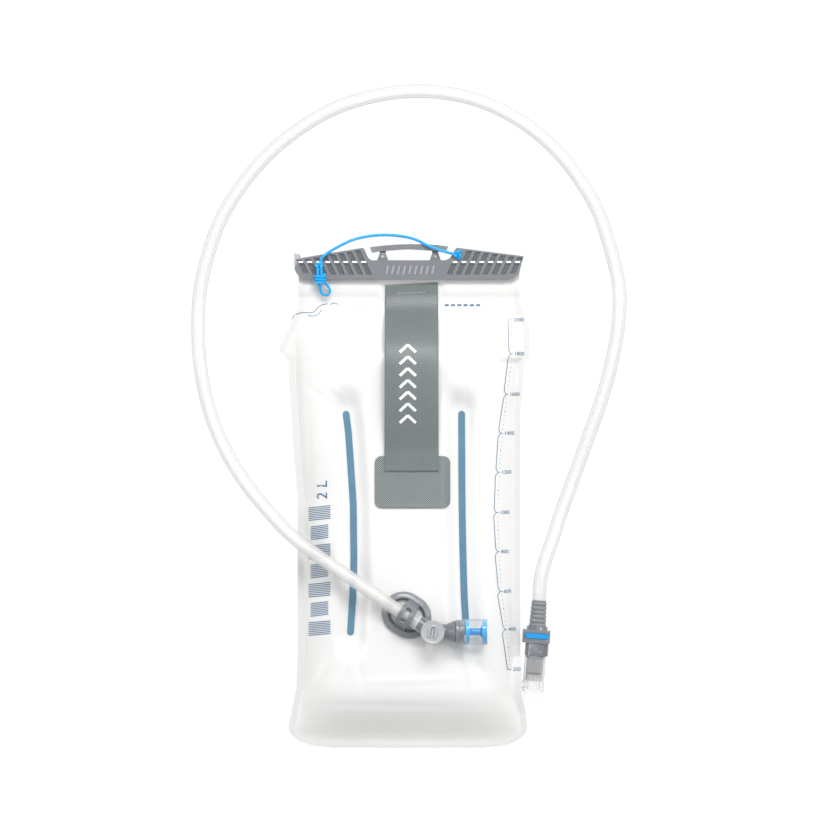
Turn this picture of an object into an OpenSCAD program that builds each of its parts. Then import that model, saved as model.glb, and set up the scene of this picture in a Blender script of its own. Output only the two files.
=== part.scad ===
// Hydration bladder with a slide bar, a drinking hose and a bite valve.
// It lies on its back: +Y runs to the slide bar, +Z out of the front film.
// The origin is on the back film's resting plane, under the middle of the bag.

/* [Reservoir] */
// Width of the bag at its waist
bag_w = 156; // [140:1:190]
// Length from the base edge to the neck
bag_l = 316; // [280:1:380]
// Distance from the origin down to the base edge
base_drop = 176; // [150:1:200]
// Height of the side seams over the resting plane
seam_h = 19; // [15:0.5:26]
// Height that the front film swells above the seams
front_rise = 20.4; // [14:0.2:26]
// Thickness of the film
film_t = 0.6; // [0.4:0.1:1]
// Width of the flat weld along each side
margin = 5; // [3:0.5:6]
// Extra half width of the flared base
base_flare = 5.5; // [3:0.5:9]
// Extra half width of the shoulder flap on the left
flap_left = 13; // [9:0.5:15]
// Extra half width of the shoulder flap on the right
flap_right = 6.5; // [5:0.5:12]
// Length of the flat neck below the slide bar
neck_l = 12; // [10:1:20]

/* [Baffles] */
// Height of the front film where a baffle holds it down
baffle_h = 31.5; // [26:0.5:34]
// Thickness of each inner baffle web
web_t = 0.8; // [0.6:0.1:1.2]
// Width of each coloured weld strip
strip_w = 4.8; // [3:0.1:5]
// Thickness of each coloured weld strip
strip_t = 0.5; // [0.3:0.1:1]
// Distance from the base edge to the baffles' lower end
baffle_low = 79; // [75:1:95]
// Distance from the neck down to the baffles' upper end
baffle_high = 80; // [75:1:95]

/* [Mouth rails] */
// Height of each rail across the film
rail_t = 2.6; // [2:0.1:3]
// Width of each rail along the bag
rail_w = 5; // [4:0.1:6]

/* [Slide bar] */
// Length of the slide bar
bar_l = 160.4; // [150:0.2:200]
// Depth of the bar from front to back
bar_d = 13; // [12:0.5:16]
// Height of the bar at its plain middle
bar_h = 13.3; // [12.5:0.1:18]
// Extra height of the two shoulders
shoulder_h = 8.7; // [6:0.1:12]
// Thickness of the bar's lips under the rails
lip_t = 3.5; // [2.5:0.1:4]
// Gap between the rails and the channel around them
rail_gap = 0.6; // [0.3:0.1:1]
// Depth of the grip pockets
pocket_d = 1.1; // [0.6:0.1:1.3]
// Number of grip pockets on each shoulder
pockets = 8; // [4:1:8]
// Thickness of the bar's closed left end
end_t = 2.2; // [1.5:0.1:4]

/* [Hanger] */
// Depth of the hanger arch
arch_d = 6; // [5:0.5:8]
// Radius of the hanger pins
pin_r = 1.1; // [0.8:0.1:1.4]
// Distance between the two hanger pins
pin_span = 36.8; // [32:0.2:40]

/* [Strap] */
// Width of the carry strap
strap_w = 37.8; // [25:0.2:45]
// Thickness of the strap's webbing
strap_t = 1.4; // [1:0.1:2]
// Width of the anchor patch
patch_w = 52.5; // [46:0.5:60]
// Height of the anchor patch along the bag
patch_h = 36.4; // [30:0.2:45]
// Thickness of the anchor patch
patch_t = 0.9; // [0.5:0.1:1.5]

/* [Exit port] */
// Lean of the port and the coupler
tilt = 4; // [0:0.5:6]
// Outer radius of the clear socket
socket_r = 7.4; // [7:0.1:7.6]
// Radius of the valve insert in the socket
insert_r = 6; // [5.5:0.1:6.2]
// Radius of the spigot that the coupler goes over
spigot_r = 4.6; // [4.2:0.1:4.8]
// Half thickness of the port's base between the films
boat_h = 3.4; // [3:0.1:4]
// Travel of the poppet in the port
poppet_travel = 2.5; // [1.5:0.1:2.6]

/* [Coupler] */
// Width of the coupler's latch block
latch_w = 19.4; // [18:0.1:21]
// Depth of the coupler's latch block
latch_d = 16; // [15:0.1:17]
// Length of the release button
button_l = 17; // [14:0.1:17.4]
// Width of the release button
button_w = 3.6; // [3:0.1:4]
// Travel of the release button
button_travel = 1.2; // [0.8:0.1:1.3]

/* [Hose] */
// Outer diameter of the hose
hose_d = 9.5; // [8:0.1:9.6]

/* [Bite valve] */
// Radius of the shut-off lever's disc
lever_r = 8.4; // [7.5:0.1:9]
// Radius of the bite sheath
sheath_r = 9.1; // [8.8:0.1:9.1]
// Thickness of the bite sheath
sheath_t = 0.45; // [0.3:0.05:0.6]

/* [Hose clip] */
// Outer radius of the clip's ring at its two rounded ends
ring_r = 15; // [14:0.1:17]
// Length by which the ring is drawn out along the hose
ring_long = 5.2; // [0.4:0.1:6]
// Width of the ring's band
ring_w = 6.2; // [3:0.1:7]
// Thickness of the ring
ring_t = 3.2; // [2.5:0.1:3.3]

/* [Hidden] */

base_y = -base_drop;
neck_y = base_y + bag_l;
bar_y = neck_y + neck_l;
seam_z = seam_h;
front_z = seam_z + film_t + front_rise;
weld_y0 = base_y + baffle_low;
weld_y1 = neck_y - baffle_high;

fit = 0.05;
fine = 48;

film_clear = "ghostwhite";
clear_plastic = "aliceblue";
grey_plastic = "slategray";
bright_blue = "deepskyblue";

// ---- shared helpers ----

function smooth(t) = let(c = min(1, max(0, t))) c * c * (3 - 2 * c);
function unit(v) = v / norm(v);

// Catmull-Rom point between p1 and p2
function spline(p0, p1, p2, p3, t) = 0.5 * (2 * p1 + (p2 - p0) * t
    + (2 * p0 - 5 * p1 + 4 * p2 - p3) * t * t + (3 * p1 - p0 - 3 * p2 + p3) * t * t * t);

// a route with extra points worked out between the chosen ones
function refine(pts, steps) = let(n = len(pts)) concat(
    [for (i = [0 : n - 2]) for (k = [0 : steps - 1])
        spline(pts[max(0, i - 1)], pts[i], pts[i + 1], pts[min(n - 1, i + 2)], k / steps)],
    [pts[n - 1]]);

// closed grid of rings, as the faces of a polyhedron
function tube_faces(rings, sides) = concat(
    [[for (k = [0 : sides - 1]) k]],
    [for (i = [0 : rings - 2]) for (k = [0 : sides - 1])
        let(a = i * sides + k, b = i * sides + (k + 1) % sides)
        [a, a + sides, b + sides, b]],
    [[for (k = [sides - 1 : -1 : 0]) (rings - 1) * sides + k]]);

// round tube swept along a route that never points straight up
module sweep(route, r, sides) {
    n = len(route);
    pts = [for (i = [0 : n - 1])
        let(t = unit(route[min(n - 1, i + 1)] - route[max(0, i - 1)]),
            s = unit(cross(t, [0, 0, 1])), u = cross(s, t))
        for (k = [0 : sides - 1])
            route[i] + r * (cos(k * 360 / sides) * s + sin(k * 360 / sides) * u)];
    polyhedron(pts, tube_faces(n, sides), convexity = 8);
}

// coil spring standing on the XY plane
module coil(r, wire, h, turns) {
    steps = 14;
    sides = 6;
    n = turns * steps + 1;
    pts = [for (i = [0 : n - 1]) let(a = i * 360 / steps, z = wire + (h - 2 * wire) * i / (n - 1))
        for (k = [0 : sides - 1]) let(b = k * 360 / sides)
            [(r + wire * cos(b)) * cos(a), (r + wire * cos(b)) * sin(a), z + wire * sin(b)]];
    polyhedron(pts, [for (f = tube_faces(n, sides)) [for (i = [len(f) - 1 : -1 : 0]) f[i]]],
        convexity = 10);
}

// cylinder along +Y between two places
module ycyl(y0, y1, r) {
    translate([0, y0, 0])
        rotate([-90, 0, 0])
            cylinder(h = y1 - y0, r = r, $fn = fine);
}

// ring of round section about the Y axis
module yring(y, r, wire) {
    translate([0, y, 0])
        rotate([-90, 0, 0])
            rotate_extrude($fn = fine)
                translate([r, 0])
                    circle(r = wire, $fn = 24);
}

// rounded rectangle of exact lines and arcs
module rrect(w, h, r) {
    square([w - 2 * r, h], center = true);
    square([w, h - 2 * r], center = true);
    for (x = [-1, 1]) for (y = [-1, 1])
        translate([x * (w / 2 - r), y * (h / 2 - r)])
            circle(r = r, $fn = fine);
}

// rounded block along +Y between two places
module yblock(y0, y1, w, d, r) {
    translate([0, y1, 0])
        rotate([90, 0, 0])
            linear_extrude(height = y1 - y0)
                rrect(w, d, r);
}

// ---- reservoir films ----

corner_h = 14;
corner_w = 32;
mouth_y = bar_y + lip_t + rail_gap + rail_w + 0.5;
neck_gap = 0.6;
neck_half = bar_l / 2 - end_t - neck_gap;

// half widths of the bag's outline from the base corner to the mouth
left_side = [[base_y + corner_h, bag_w / 2 + base_flare + 0.9],
    [base_y + 26, bag_w / 2 + base_flare - 1.5], [base_y + 41, bag_w / 2 + 1],
    [base_y + 66, bag_w / 2], [weld_y1 - 60, bag_w / 2], [weld_y1 - 28, bag_w / 2 + 3],
    [neck_y - 52, bag_w / 2 + 6.5], [neck_y - 43, bag_w / 2 + 6.5],
    [neck_y - 39, bag_w / 2 + flap_left], [neck_y - 36, bag_w / 2 + flap_left - 0.4],
    [neck_y - 28, bag_w / 2 + flap_left - 4], [neck_y - 18, neck_half + 4.6],
    [neck_y - 11, neck_half + 1.6], [neck_y - 5, neck_half], [mouth_y, neck_half]];
right_side = [[base_y + corner_h, bag_w / 2 + base_flare - 0.7],
    [base_y + 26, bag_w / 2 + base_flare - 2], [base_y + 37, bag_w / 2 + 0.6],
    [base_y + 66, bag_w / 2], [neck_y - 80, bag_w / 2],
    [neck_y - 60, bag_w / 2 + 2], [neck_y - 46, bag_w / 2 + 2.5],
    [neck_y - 43, bag_w / 2 + 6], [neck_y - 36, bag_w / 2 + 6.3],
    [neck_y - 28, bag_w / 2 + flap_right], [neck_y - 18, neck_half + 5.6],
    [neck_y - 11, neck_half + 2.1], [neck_y - 5, neck_half], [mouth_y, neck_half]];

function corner(y) = let(t = (base_y + corner_h - y) / corner_h)
    corner_w * (1 - sqrt(max(0, 1 - t * t)));
function half(y, side) = y < base_y + corner_h
    ? side[0][1] - corner(y) : lookup(y, side);
function inner(y, side) = min(half(y, side), bag_w / 2 + 6.5) - margin;

// how far the bag is open at each place along it
function swell(y) = pow(smooth((y - base_y - margin) / 38), 0.7)
    * smooth((neck_y - 2 - y) / 48);
function crown(u) = pow(max(0, 1 - pow(abs(u), 4)), 0.8);

// the port's base holds the right seam open
port_y = base_y + 63.8;
boat_y = port_y - 19.6;
boat_l = 20;
boat_rows = [-20, -14, -7, 0, 7, 14, 20];
function boat(y) = boat_h * max(0, 1 - pow((y - boat_y) / boat_l, 2));
function seam_open(x, y) = x > 0 ? boat(y) : 0;

// centre lines of the two baffles
baffle_x = [[[weld_y0, -41], [weld_y0 + 25, -39.4], [weld_y0 + 47, -38.4],
        [weld_y1 - 65, -38.9], [weld_y1 - 33, -41], [weld_y1 - 14, -42.4], [weld_y1, -44.2]],
    [[weld_y0, 40.2], [weld_y0 + 29, 38.5], [weld_y0 + 62, 37.6],
        [weld_y1 - 60, 37], [weld_y1, 36.8]]];
// a baffle's lane across the grid, kept inside the rounded base corners
function lane(y, n) = n == 0 ? max(lookup(y, baffle_x[0]), 20 - inner(y, left_side))
    : min(lookup(y, baffle_x[1]), inner(y, right_side) - 20);
function held(x, y, n) = let(d = abs(x - lane(y, n)))
    (1 - smooth((d - 2.6) / 12)) * (1 - smooth((weld_y0 - y) / 20))
    * (1 - smooth((y - weld_y1) / 20));

function spread(x, y) = let(s = x < 0 ? left_side : right_side)
    swell(y) * crown(x / inner(y, s));
function front_in(x, y) = let(
        z = seam_z + max(seam_open(x, y), front_rise * spread(x, y)),
        k = max(held(x, y, 0), held(x, y, 1)), low = min(z, baffle_h - film_t))
    z + (low - z) * k;
function back_in(x, y) = max(film_t, seam_z - max(seam_open(x, y),
    (seam_z - film_t) * 1.3 * spread(x, y)));

// rows and columns of the film grid
rows = concat(
    [for (d = [0, 2, 6, 10, 14, 19]) base_y + d],
    [for (d = boat_rows) boat_y + d],
    [for (k = [0 : 5]) weld_y0 + (weld_y1 - weld_y0) * k / 5],
    [for (d = [70, 60, 50, 43, 39, 36, 28, 18, 11, 5, 0]) neck_y - d],
    [bar_y, mouth_y]);
near = [-14, -8, -2.6, 2.6, 8, 14];
function columns(y) = let(
        l = -half(y, left_side), li = -inner(y, left_side),
        r = half(y, right_side), ri = inner(y, right_side),
        b0 = lane(y, 0), b1 = lane(y, 1))
    concat([l, li],
        [for (t = [0.08, 0.2, 0.42, 0.7]) li + (b0 - 14 - li) * t],
        [for (d = near) b0 + d],
        [for (t = [1, 2, 3]) b0 + 14 + (b1 - b0 - 28) * t / 4],
        [for (d = near) b1 + d],
        [for (t = [0.3, 0.58, 0.8, 0.92]) b1 + 14 + (ri - b1 - 14) * t],
        [ri, r]);

// thin closed sheet between two grids of points with the same rows and columns
module sheet(top, bottom) {
    n = len(top);
    m = len(top[0]);
    pts = concat([for (row = top) for (p = row) p], [for (row = bottom) for (p = row) p]);
    function at(i, j) = i * m + j;
    under = n * m;
    faces = concat(
        [for (i = [0 : n - 2]) for (j = [0 : m - 2])
            each [[at(i, j), at(i + 1, j), at(i + 1, j + 1)],
                [at(i, j), at(i + 1, j + 1), at(i, j + 1)]]],
        [for (i = [0 : n - 2]) for (j = [0 : m - 2])
            each [[under + at(i, j), under + at(i + 1, j + 1), under + at(i + 1, j)],
                [under + at(i, j), under + at(i, j + 1), under + at(i + 1, j + 1)]]],
        [for (i = [0 : n - 2])
            each [[at(i, 0), under + at(i, 0), under + at(i + 1, 0)],
                [at(i, 0), under + at(i + 1, 0), at(i + 1, 0)]]],
        [for (i = [0 : n - 2])
            each [[at(i, m - 1), under + at(i + 1, m - 1), under + at(i, m - 1)],
                [at(i, m - 1), at(i + 1, m - 1), under + at(i + 1, m - 1)]]],
        [for (j = [0 : m - 2])
            each [[at(0, j), under + at(0, j + 1), under + at(0, j)],
                [at(0, j), at(0, j + 1), under + at(0, j + 1)]]],
        [for (j = [0 : m - 2])
            each [[at(n - 1, j), under + at(n - 1, j), under + at(n - 1, j + 1)],
                [at(n - 1, j), under + at(n - 1, j + 1), at(n - 1, j + 1)]]]);
    polyhedron(pts, faces, convexity = 10);
}

module front_film() {
    color(film_clear, 0.6)
        sheet([for (y = rows) [for (x = columns(y)) [x, y, front_in(x, y) + film_t]]],
            [for (y = rows) [for (x = columns(y)) [x, y, front_in(x, y)]]]);
}

module back_film() {
    color(film_clear, 0.6)
        sheet([for (y = rows) [for (x = columns(y)) [x, y, back_in(x, y)]]],
            [for (y = rows) [for (x = columns(y)) [x, y, back_in(x, y) - film_t]]]);
}

// ---- baffles and their weld strips ----

// band of a given width along a baffle's centre line, square or round at its ends
module baffle_band(n, w, round_ends) {
    line = baffle_x[n];
    inset = round_ends ? w / 2 : 0;
    steps = 12;
    ys = [for (k = [0 : steps])
        weld_y0 + inset + (weld_y1 - weld_y0 - 2 * inset) * k / steps];
    arc = round_ends ? [for (a = [30 : 30 : 150]) [cos(a), sin(a)] * w / 2] : [];
    polygon(concat([for (y = ys) [lookup(y, line) + w / 2, y]],
        [for (p = arc) [lookup(ys[steps], line) + p[0], ys[steps] + p[1]]],
        [for (k = [steps : -1 : 0]) [lookup(ys[k], line) - w / 2, ys[k]]],
        [for (p = arc) [lookup(ys[0], line) - p[0], ys[0] - p[1]]]));
}

module baffle(n) {
    color("lightsteelblue", 0.6)
        translate([0, 0, film_t])
            linear_extrude(height = baffle_h - 2 * film_t)
                baffle_band(n, web_t, false);
}

module weld_strip(n) {
    color("steelblue")
        translate([0, 0, baffle_h])
            linear_extrude(height = strip_t)
                baffle_band(n, strip_w, true);
}

// ---- mouth rails ----

rail_half = neck_half - 0.6;

// D-shaped bead along the mouth, rounded on its outer side
module rail_bead() {
    translate([-rail_half, 0, 0])
        rotate([90, 0, 90])
            linear_extrude(height = 2 * rail_half)
                intersection() {
                    square([rail_w, rail_t]);
                    translate([rail_w / 2, rail_t - rail_w * 0.62])
                        circle(r = rail_w * 0.62, $fn = fine);
                }
}

rail_y = bar_y + lip_t + rail_gap;

module rail_front() {
    color(clear_plastic, 0.8)
        translate([0, rail_y, seam_z + film_t])
            rail_bead();
}

module rail_back() {
    color(clear_plastic, 0.8)
        translate([0, rail_y, seam_z - film_t])
            mirror([0, 0, 1])
                rail_bead();
}

// ---- slide bar ----

// the bar's top edge, left to right, as heights above its plain middle
bar_half = bar_l / 2;
mid_y = bar_y + bar_h;
shoulder_x = 32.3;
shoulder_y = mid_y + shoulder_h;
left_edge = [[-bar_half + 4.2, mid_y + 1.5], [-shoulder_x, shoulder_y]];
right_edge = [[shoulder_x + 1.3, shoulder_y], [bar_half, mid_y + 2.8]];
foot_r = 9;

module bar_outline() {
    polygon(concat(
        [[-bar_half, mid_y + 4.2], [-bar_half + 1, mid_y + 4.8], [-bar_half + 3, mid_y + 4.6],
            [-bar_half + 4, mid_y + 3.4]],
        left_edge,
        [[-31, shoulder_y - 1.2], [-29.6, mid_y + 4], [-28.6, mid_y + 1.9],
            [-27.4, mid_y + 0.6], [-25.8, mid_y]],
        [[25.2, mid_y], [27.4, mid_y + 0.7], [29, mid_y + 2], [30.4, mid_y + 4.2],
            [32.4, shoulder_y - 1]],
        right_edge,
        [[bar_half - 2.6, bar_y + 6.4]],
        [for (a = [15 : 15 : 90]) [bar_half - 2.6 - foot_r * (1 - cos(a)),
            bar_y + 6.4 * (1 - sin(a))]],
        [for (a = [90 : -15 : 0]) [-bar_half + foot_r * (1 - cos(a)),
            bar_y + foot_r * (1 - sin(a))]]));
}

pitch = 6.27;
lean = 3.8;
pocket_w = 3.8;
ledge_y = mid_y - 1.4;

// one slanted pocket between two heights, side is -1 on the left and 1 on the right
module pocket(x, y0, y1, side) {
    slope = side * lean / 8.4;
    polygon([[x + (y0 - bar_y) * slope, y0], [x + pocket_w + (y0 - bar_y) * slope, y0],
        [x + pocket_w + (y1 - bar_y) * slope, y1], [x + (y1 - bar_y) * slope, y1]]);
}

// height of the bar's upper edge over a shoulder
function edge_y(x) = x < 0 ? lookup(x, left_edge) : lookup(x, right_edge);

module pocket_rows() {
    for (k = [0 : pockets - 1]) {
        xl = -28.3 - pitch * k;
        xr = 24.8 + pitch * k;
        pocket(xl, bar_y + (k > 6 ? 4.4 : 3.2), ledge_y - 0.6, -1);
        pocket(xr, bar_y + (k > 6 ? 4 : 3.2), ledge_y - 0.6, 1);
        pocket(xl - 0.5, ledge_y + 0.8, edge_y(xl - 9.5) - 1, -1);
        if (k > 0)
            pocket(xr + 0.4, ledge_y + 0.8, edge_y(xr + 12) - 1, 1);
    }
}

// plain raised grip bars on the middle of the bar
module grip_bars() {
    for (k = [-4 : 4])
        translate([k * 4, bar_y + 3.4])
            polygon([[-0.7, 0], [0.7, 0], [2.1, 6], [0.7, 6]]);
}

foot_y = mid_y + 2.8;
cheek_t = 1.6;
tongue_t = arch_d - 2 * cheek_t - 0.2;
hole_x = 34.1;
hole_y = mid_y + 3.8;

module foot_shape() {
    polygon([[-4, -3], [4, -3], [2.4, 1.6], [1.4, 2.4], [-1.4, 2.4], [-2.4, 1.6]]);
}

module slide_bar() {
    cavity = 2 * (film_t + rail_t + rail_gap);
    color(grey_plastic)
        difference() {
            union() {
                translate([0, 0, seam_z - bar_d / 2])
                    linear_extrude(height = bar_d)
                        bar_outline();
                translate([0, 0, seam_z + bar_d / 2 - 0.1])
                    linear_extrude(height = 0.5)
                        grip_bars();
                for (x = [-1, 1]) for (z = [seam_z - arch_d / 2, seam_z + arch_d / 2 - cheek_t])
                    translate([x * pin_span / 2, foot_y, z])
                        linear_extrude(height = cheek_t)
                            foot_shape();
            }
            translate([-bar_half + end_t, bar_y + lip_t, seam_z - cavity / 2])
                cube([bar_l, rail_w + 2 * rail_gap, cavity]);
            translate([-bar_half + end_t, bar_y - 1, seam_z - film_t - 0.5])
                cube([bar_l, lip_t + 2, 2 * film_t + 1]);
            translate([0, 0, seam_z + bar_d / 2 - pocket_d])
                linear_extrude(height = pocket_d + 1)
                    pocket_rows();
            translate([0, 0, seam_z - bar_d / 2 - 1])
                linear_extrude(height = pocket_d + 1)
                    pocket_rows();
            translate([hole_x, hole_y, seam_z - bar_d])
                cylinder(h = 2 * bar_d, r = 1.5, $fn = fine);
            for (x = [-1, 1])
                translate([x * pin_span / 2, foot_y, seam_z - arch_d])
                    cylinder(h = 2 * arch_d, r = pin_r + fit, $fn = fine);
        }
}

// ---- hanger ----

arch_y = mid_y + 6.6;

module hanger_arch() {
    color(grey_plastic)
        difference() {
            union() {
                translate([0, arch_y, seam_z - arch_d / 2])
                    linear_extrude(height = arch_d)
                        polygon([[-26, -1.3], [-27.6, 2.6], [-18, 3.8], [-8.7, 4.5], [1.4, 4.8],
                            [11.4, 4.7], [20, 4.1], [27.6, 3.2], [26, -0.4], [21.5, 0.1],
                            [16, 0.1], [8, 0.7], [0, 1.1], [-8, 0.7], [-16, 0.1],
                            [-21.5, -0.4]]);
                for (x = [-1, 1])
                    translate([x * pin_span / 2, 0, seam_z - tongue_t / 2])
                        linear_extrude(height = tongue_t)
                            polygon([[-1.8, foot_y - 1.9], [1.8, foot_y - 1.9],
                                [2.4, arch_y + 1], [-2.4, arch_y + 1]]);
            }
            for (x = [-1, 1])
                translate([x * pin_span / 2, foot_y, seam_z - arch_d])
                    cylinder(h = 2 * arch_d, r = pin_r + fit, $fn = fine);
        }
}

module hanger_pins() {
    color("silver")
        for (x = [-1, 1])
            translate([x * pin_span / 2, foot_y, seam_z - arch_d / 2 - 0.2])
                cylinder(h = arch_d + 0.4, r = pin_r, $fn = fine);
}

// ---- tether ----

// places are measured from the peg's foot on the neck
peg = [-58.3, neck_y + 3.9, seam_z + film_t];
cord_r = 1;
loop_route = [[-2.7, 18.1, 7.8], [-3, 14.1, 7.8], [-2.5, 10.1, 7.8], [-0.9, 6.1, 7.2],
    [1.7, 2.9, 5.8], [2.9, 0, 5], [1.9, -2.3, 4.8], [-0.3, -3, 4.8], [-2.5, -1.9, 5],
    [-3.7, 1.1, 5.6], [-4.7, 5.1, 7], [-5.2, 9.1, 7.8], [-5.3, 14.1, 7.8], [-4.9, 18.1, 7.8]];
line_route = [[-3.8, 19.7, 7.8], [-2.3, 23.1, 7.8], [1.8, 26.6, 7.8], [10.3, 31.6, 7.5],
    [19.3, 35.7, 6.4], [29.3, 38.1, 3.9], [38.3, 39.1, 1.6], [48.3, 38.9, 0.2],
    [58.3, 37.4, 0.6], [65.3, 34.9, 2.4], [71.3, 31.7, 4.7], [78.3, 28.9, 6.6],
    [84.3, 27.1, 7.6], [89.8, 25.7, 8.2]];

module tether_eyelet() {
    color(clear_plastic, 0.7)
        translate(peg) {
            cylinder(h = 1, r = 3.9, $fn = fine);
            cylinder(h = 9, r = 1.6, $fn = fine);
            translate([0, 0, 8.8])
                cylinder(h = 0.9, r = 2.7, $fn = fine);
        }
}

module tether_loop() {
    color(bright_blue)
        translate(peg)
            sweep(loop_route, cord_r, 8);
}

// the cinch knot stands on the two strands, so the pair is a press fit
module tether_cinch() {
    color(bright_blue)
        translate(peg + [-3.9, 8.2, 7.75])
            rotate([0, 90, 12])
                translate([0, 0, -3.1])
                    cylinder(h = 6.2, r = 1.25, $fn = 24);
}

module tether_line() {
    color(bright_blue)
        translate(peg)
            sweep(line_route, cord_r, 8);
}

module tether_knot() {
    front = seam_z + bar_d / 2;
    back = seam_z - bar_d / 2;
    color(bright_blue)
        translate([hole_x, hole_y, 0]) {
            translate([0, 0, front + 2.25])
                sphere(r = 2.2, $fn = 32);
            translate([0, 0, back - 1])
                cylinder(h = bar_d + 3, r = 0.95, $fn = 24);
            translate([0, 0, back - 2.05])
                sphere(r = 2, $fn = 32);
        }
}

// ---- carry strap ----

strap_x = 1.8;
patch_x = strap_x + 0.6;
patch_top = weld_y1 - 31.6;
strap_low = front_z + patch_t + strap_t / 2 + 0.05;
strap_top = seam_z + film_t + strap_t / 2 + 0.05;

// middle of the webbing from the neck to the patch, as [Y, Z]
strap_line = [[bar_y - 3, strap_top], [neck_y + 4, strap_top], [neck_y - 1, strap_top + 0.4],
    [neck_y - 9, strap_top + 3.4],
    [neck_y - 18, strap_top + 10.8], [neck_y - 27, strap_low - 2.6],
    [neck_y - 37, strap_low + 3.2], [neck_y - 50, strap_low + 6.2],
    [patch_top + 46, strap_low + 6.4], [patch_top + 31, strap_low + 5],
    [patch_top + 16, strap_low + 2.4], [patch_top + 6, strap_low + 0.4],
    [patch_top, strap_low], [patch_top - 10.4, strap_low]];

module carry_strap() {
    line = refine(strap_line, 3);
    n = len(line);
    normals = [for (i = [0 : n - 1])
        let(t = unit(line[min(n - 1, i + 1)] - line[max(0, i - 1)])) [-t[1], t[0]]];
    color("dimgray")
        translate([strap_x - strap_w / 2, 0, 0])
            rotate([90, 0, 90])
                linear_extrude(height = strap_w)
                    polygon(concat([for (i = [0 : n - 1]) line[i] + normals[i] * strap_t / 2],
                        [for (i = [n - 1 : -1 : 0]) line[i] - normals[i] * strap_t / 2]));
}

module strap_patch() {
    color("gray")
        translate([patch_x, patch_top - patch_h / 2, front_z])
            linear_extrude(height = patch_t)
                rrect(patch_w, patch_h, 3.5);
}

// ---- exit port and its valve, in a frame that leans with the port ----

port_x = bag_w / 2 + 10.5;

module port_frame() {
    translate([port_x, port_y, seam_z])
        rotate([0, 0, -tilt])
            children();
}

socket_low = -24.6;
socket_high = -0.6;

module exit_port() {
    inner_x = bag_w / 2 - margin - 1;
    color(clear_plastic, 0.7)
        difference() {
            union() {
                port_frame() {
                    ycyl(socket_low, socket_high, socket_r);
                    // pull loop below the socket
                    translate([0.6, socket_low - 3.2, -1.2])
                        linear_extrude(height = 2.4)
                            difference() {
                                rrect(15.6, 10.4, 4.6);
                                rrect(10.8, 5.6, 2.6);
                            }
                }
                // base that the two films are welded to
                translate([inner_x, boat_y, seam_z])
                    rotate([90, 0, 90])
                        linear_extrude(height = bag_w / 2 - inner_x + 1.2)
                            polygon(concat([for (d = boat_rows) [d, boat(boat_y + d)]],
                                [for (k = [5 : -1 : 1]) [boat_rows[k],
                                    -boat(boat_y + boat_rows[k])]]));
                translate([inner_x + 1, boat_y, seam_z])
                    rotate([0, 90, 0])
                        cylinder(h = port_x - inner_x - 4, r = 3, $fn = fine);
            }
            port_frame() {
                ycyl(socket_low + 1.6, -16, 4.8);
                ycyl(-17.2, 1, insert_r + fit);
            }
            translate([inner_x - 1, boat_y, seam_z])
                rotate([0, 90, 0])
                    cylinder(h = port_x - inner_x, r = 2.2, $fn = fine);
        }
}

seat_y = -3;
seal_wire = 0.4;
spigot_top = 17.4;

module port_valve() {
    color("lightslategray")
        port_frame()
            difference() {
                union() {
                    ycyl(-17, 0, insert_r);
                    ycyl(socket_high, 0.4, socket_r - 0.3);
                    ycyl(-17, spigot_top, spigot_r);
                }
                ycyl(-18, seat_y, spigot_r - 1.4);
                ycyl(-18, spigot_top + 1, spigot_r - 2.2);
                // grooves for the two rings and the latch
                for (g = [[-12.7, -10.9, insert_r - 0.8, insert_r],
                        [4, 5.7, spigot_r - 0.8, spigot_r],
                        [13.4, 15.8, spigot_r - 0.6, spigot_r]])
                    translate([0, g[0], 0])
                        rotate([-90, 0, 0])
                            difference() {
                                cylinder(h = g[1] - g[0], r = g[3] + 0.5, $fn = fine);
                                translate([0, 0, -1])
                                    cylinder(h = g[1] - g[0] + 2, r = g[2], $fn = fine);
                            }
            }
}

module port_oring() {
    color("black")
        port_frame()
            yring(-11.8, insert_r - seal_wire + 0.03, seal_wire);
}

module spigot_oring() {
    color("black")
        port_frame()
            yring(4.85, spigot_r - seal_wire + 0.03, seal_wire);
}

module spring_seat() {
    color(grey_plastic)
        port_frame()
            difference() {
                ycyl(-17, -16.1, spigot_r - 1.45);
                ycyl(-18, -15, 1.4);
            }
}

module poppet_spring() {
    color("silver")
        port_frame()
            translate([0, -16.05, 0])
                rotate([-90, 0, 0])
                    coil(spigot_r - 2.4, 0.32, 8.8, 5);
}

// open at rest, held down by the coupler's pin
head_y = seat_y - 0.1 - poppet_travel;
stem_top = 10;

module poppet() {
    color("gainsboro")
        port_frame() {
            ycyl(head_y - 1.5, head_y, spigot_r - 1.8);
            ycyl(head_y - 7, head_y, 1);
            ycyl(head_y, stem_top, 1);
        }
}

// ---- coupler on the hose end ----

latch_y0 = 9.6;
latch_y1 = 18.8;
button_y = 14.6;
plate_t = 1.6;
relief_y = 21.2;
relief_l = 18.1;
barb_top = 36;
spring_x = button_l / 2 - 1.15;
spring_hole_r = 1.25;
plate_w = 2 * spring_x - 3.3;

module stadium(l, w) {
    square([l - w, w], center = true);
    for (x = [-1, 1])
        translate([x * (l - w) / 2, 0])
            circle(r = w / 2, $fn = fine);
}

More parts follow.
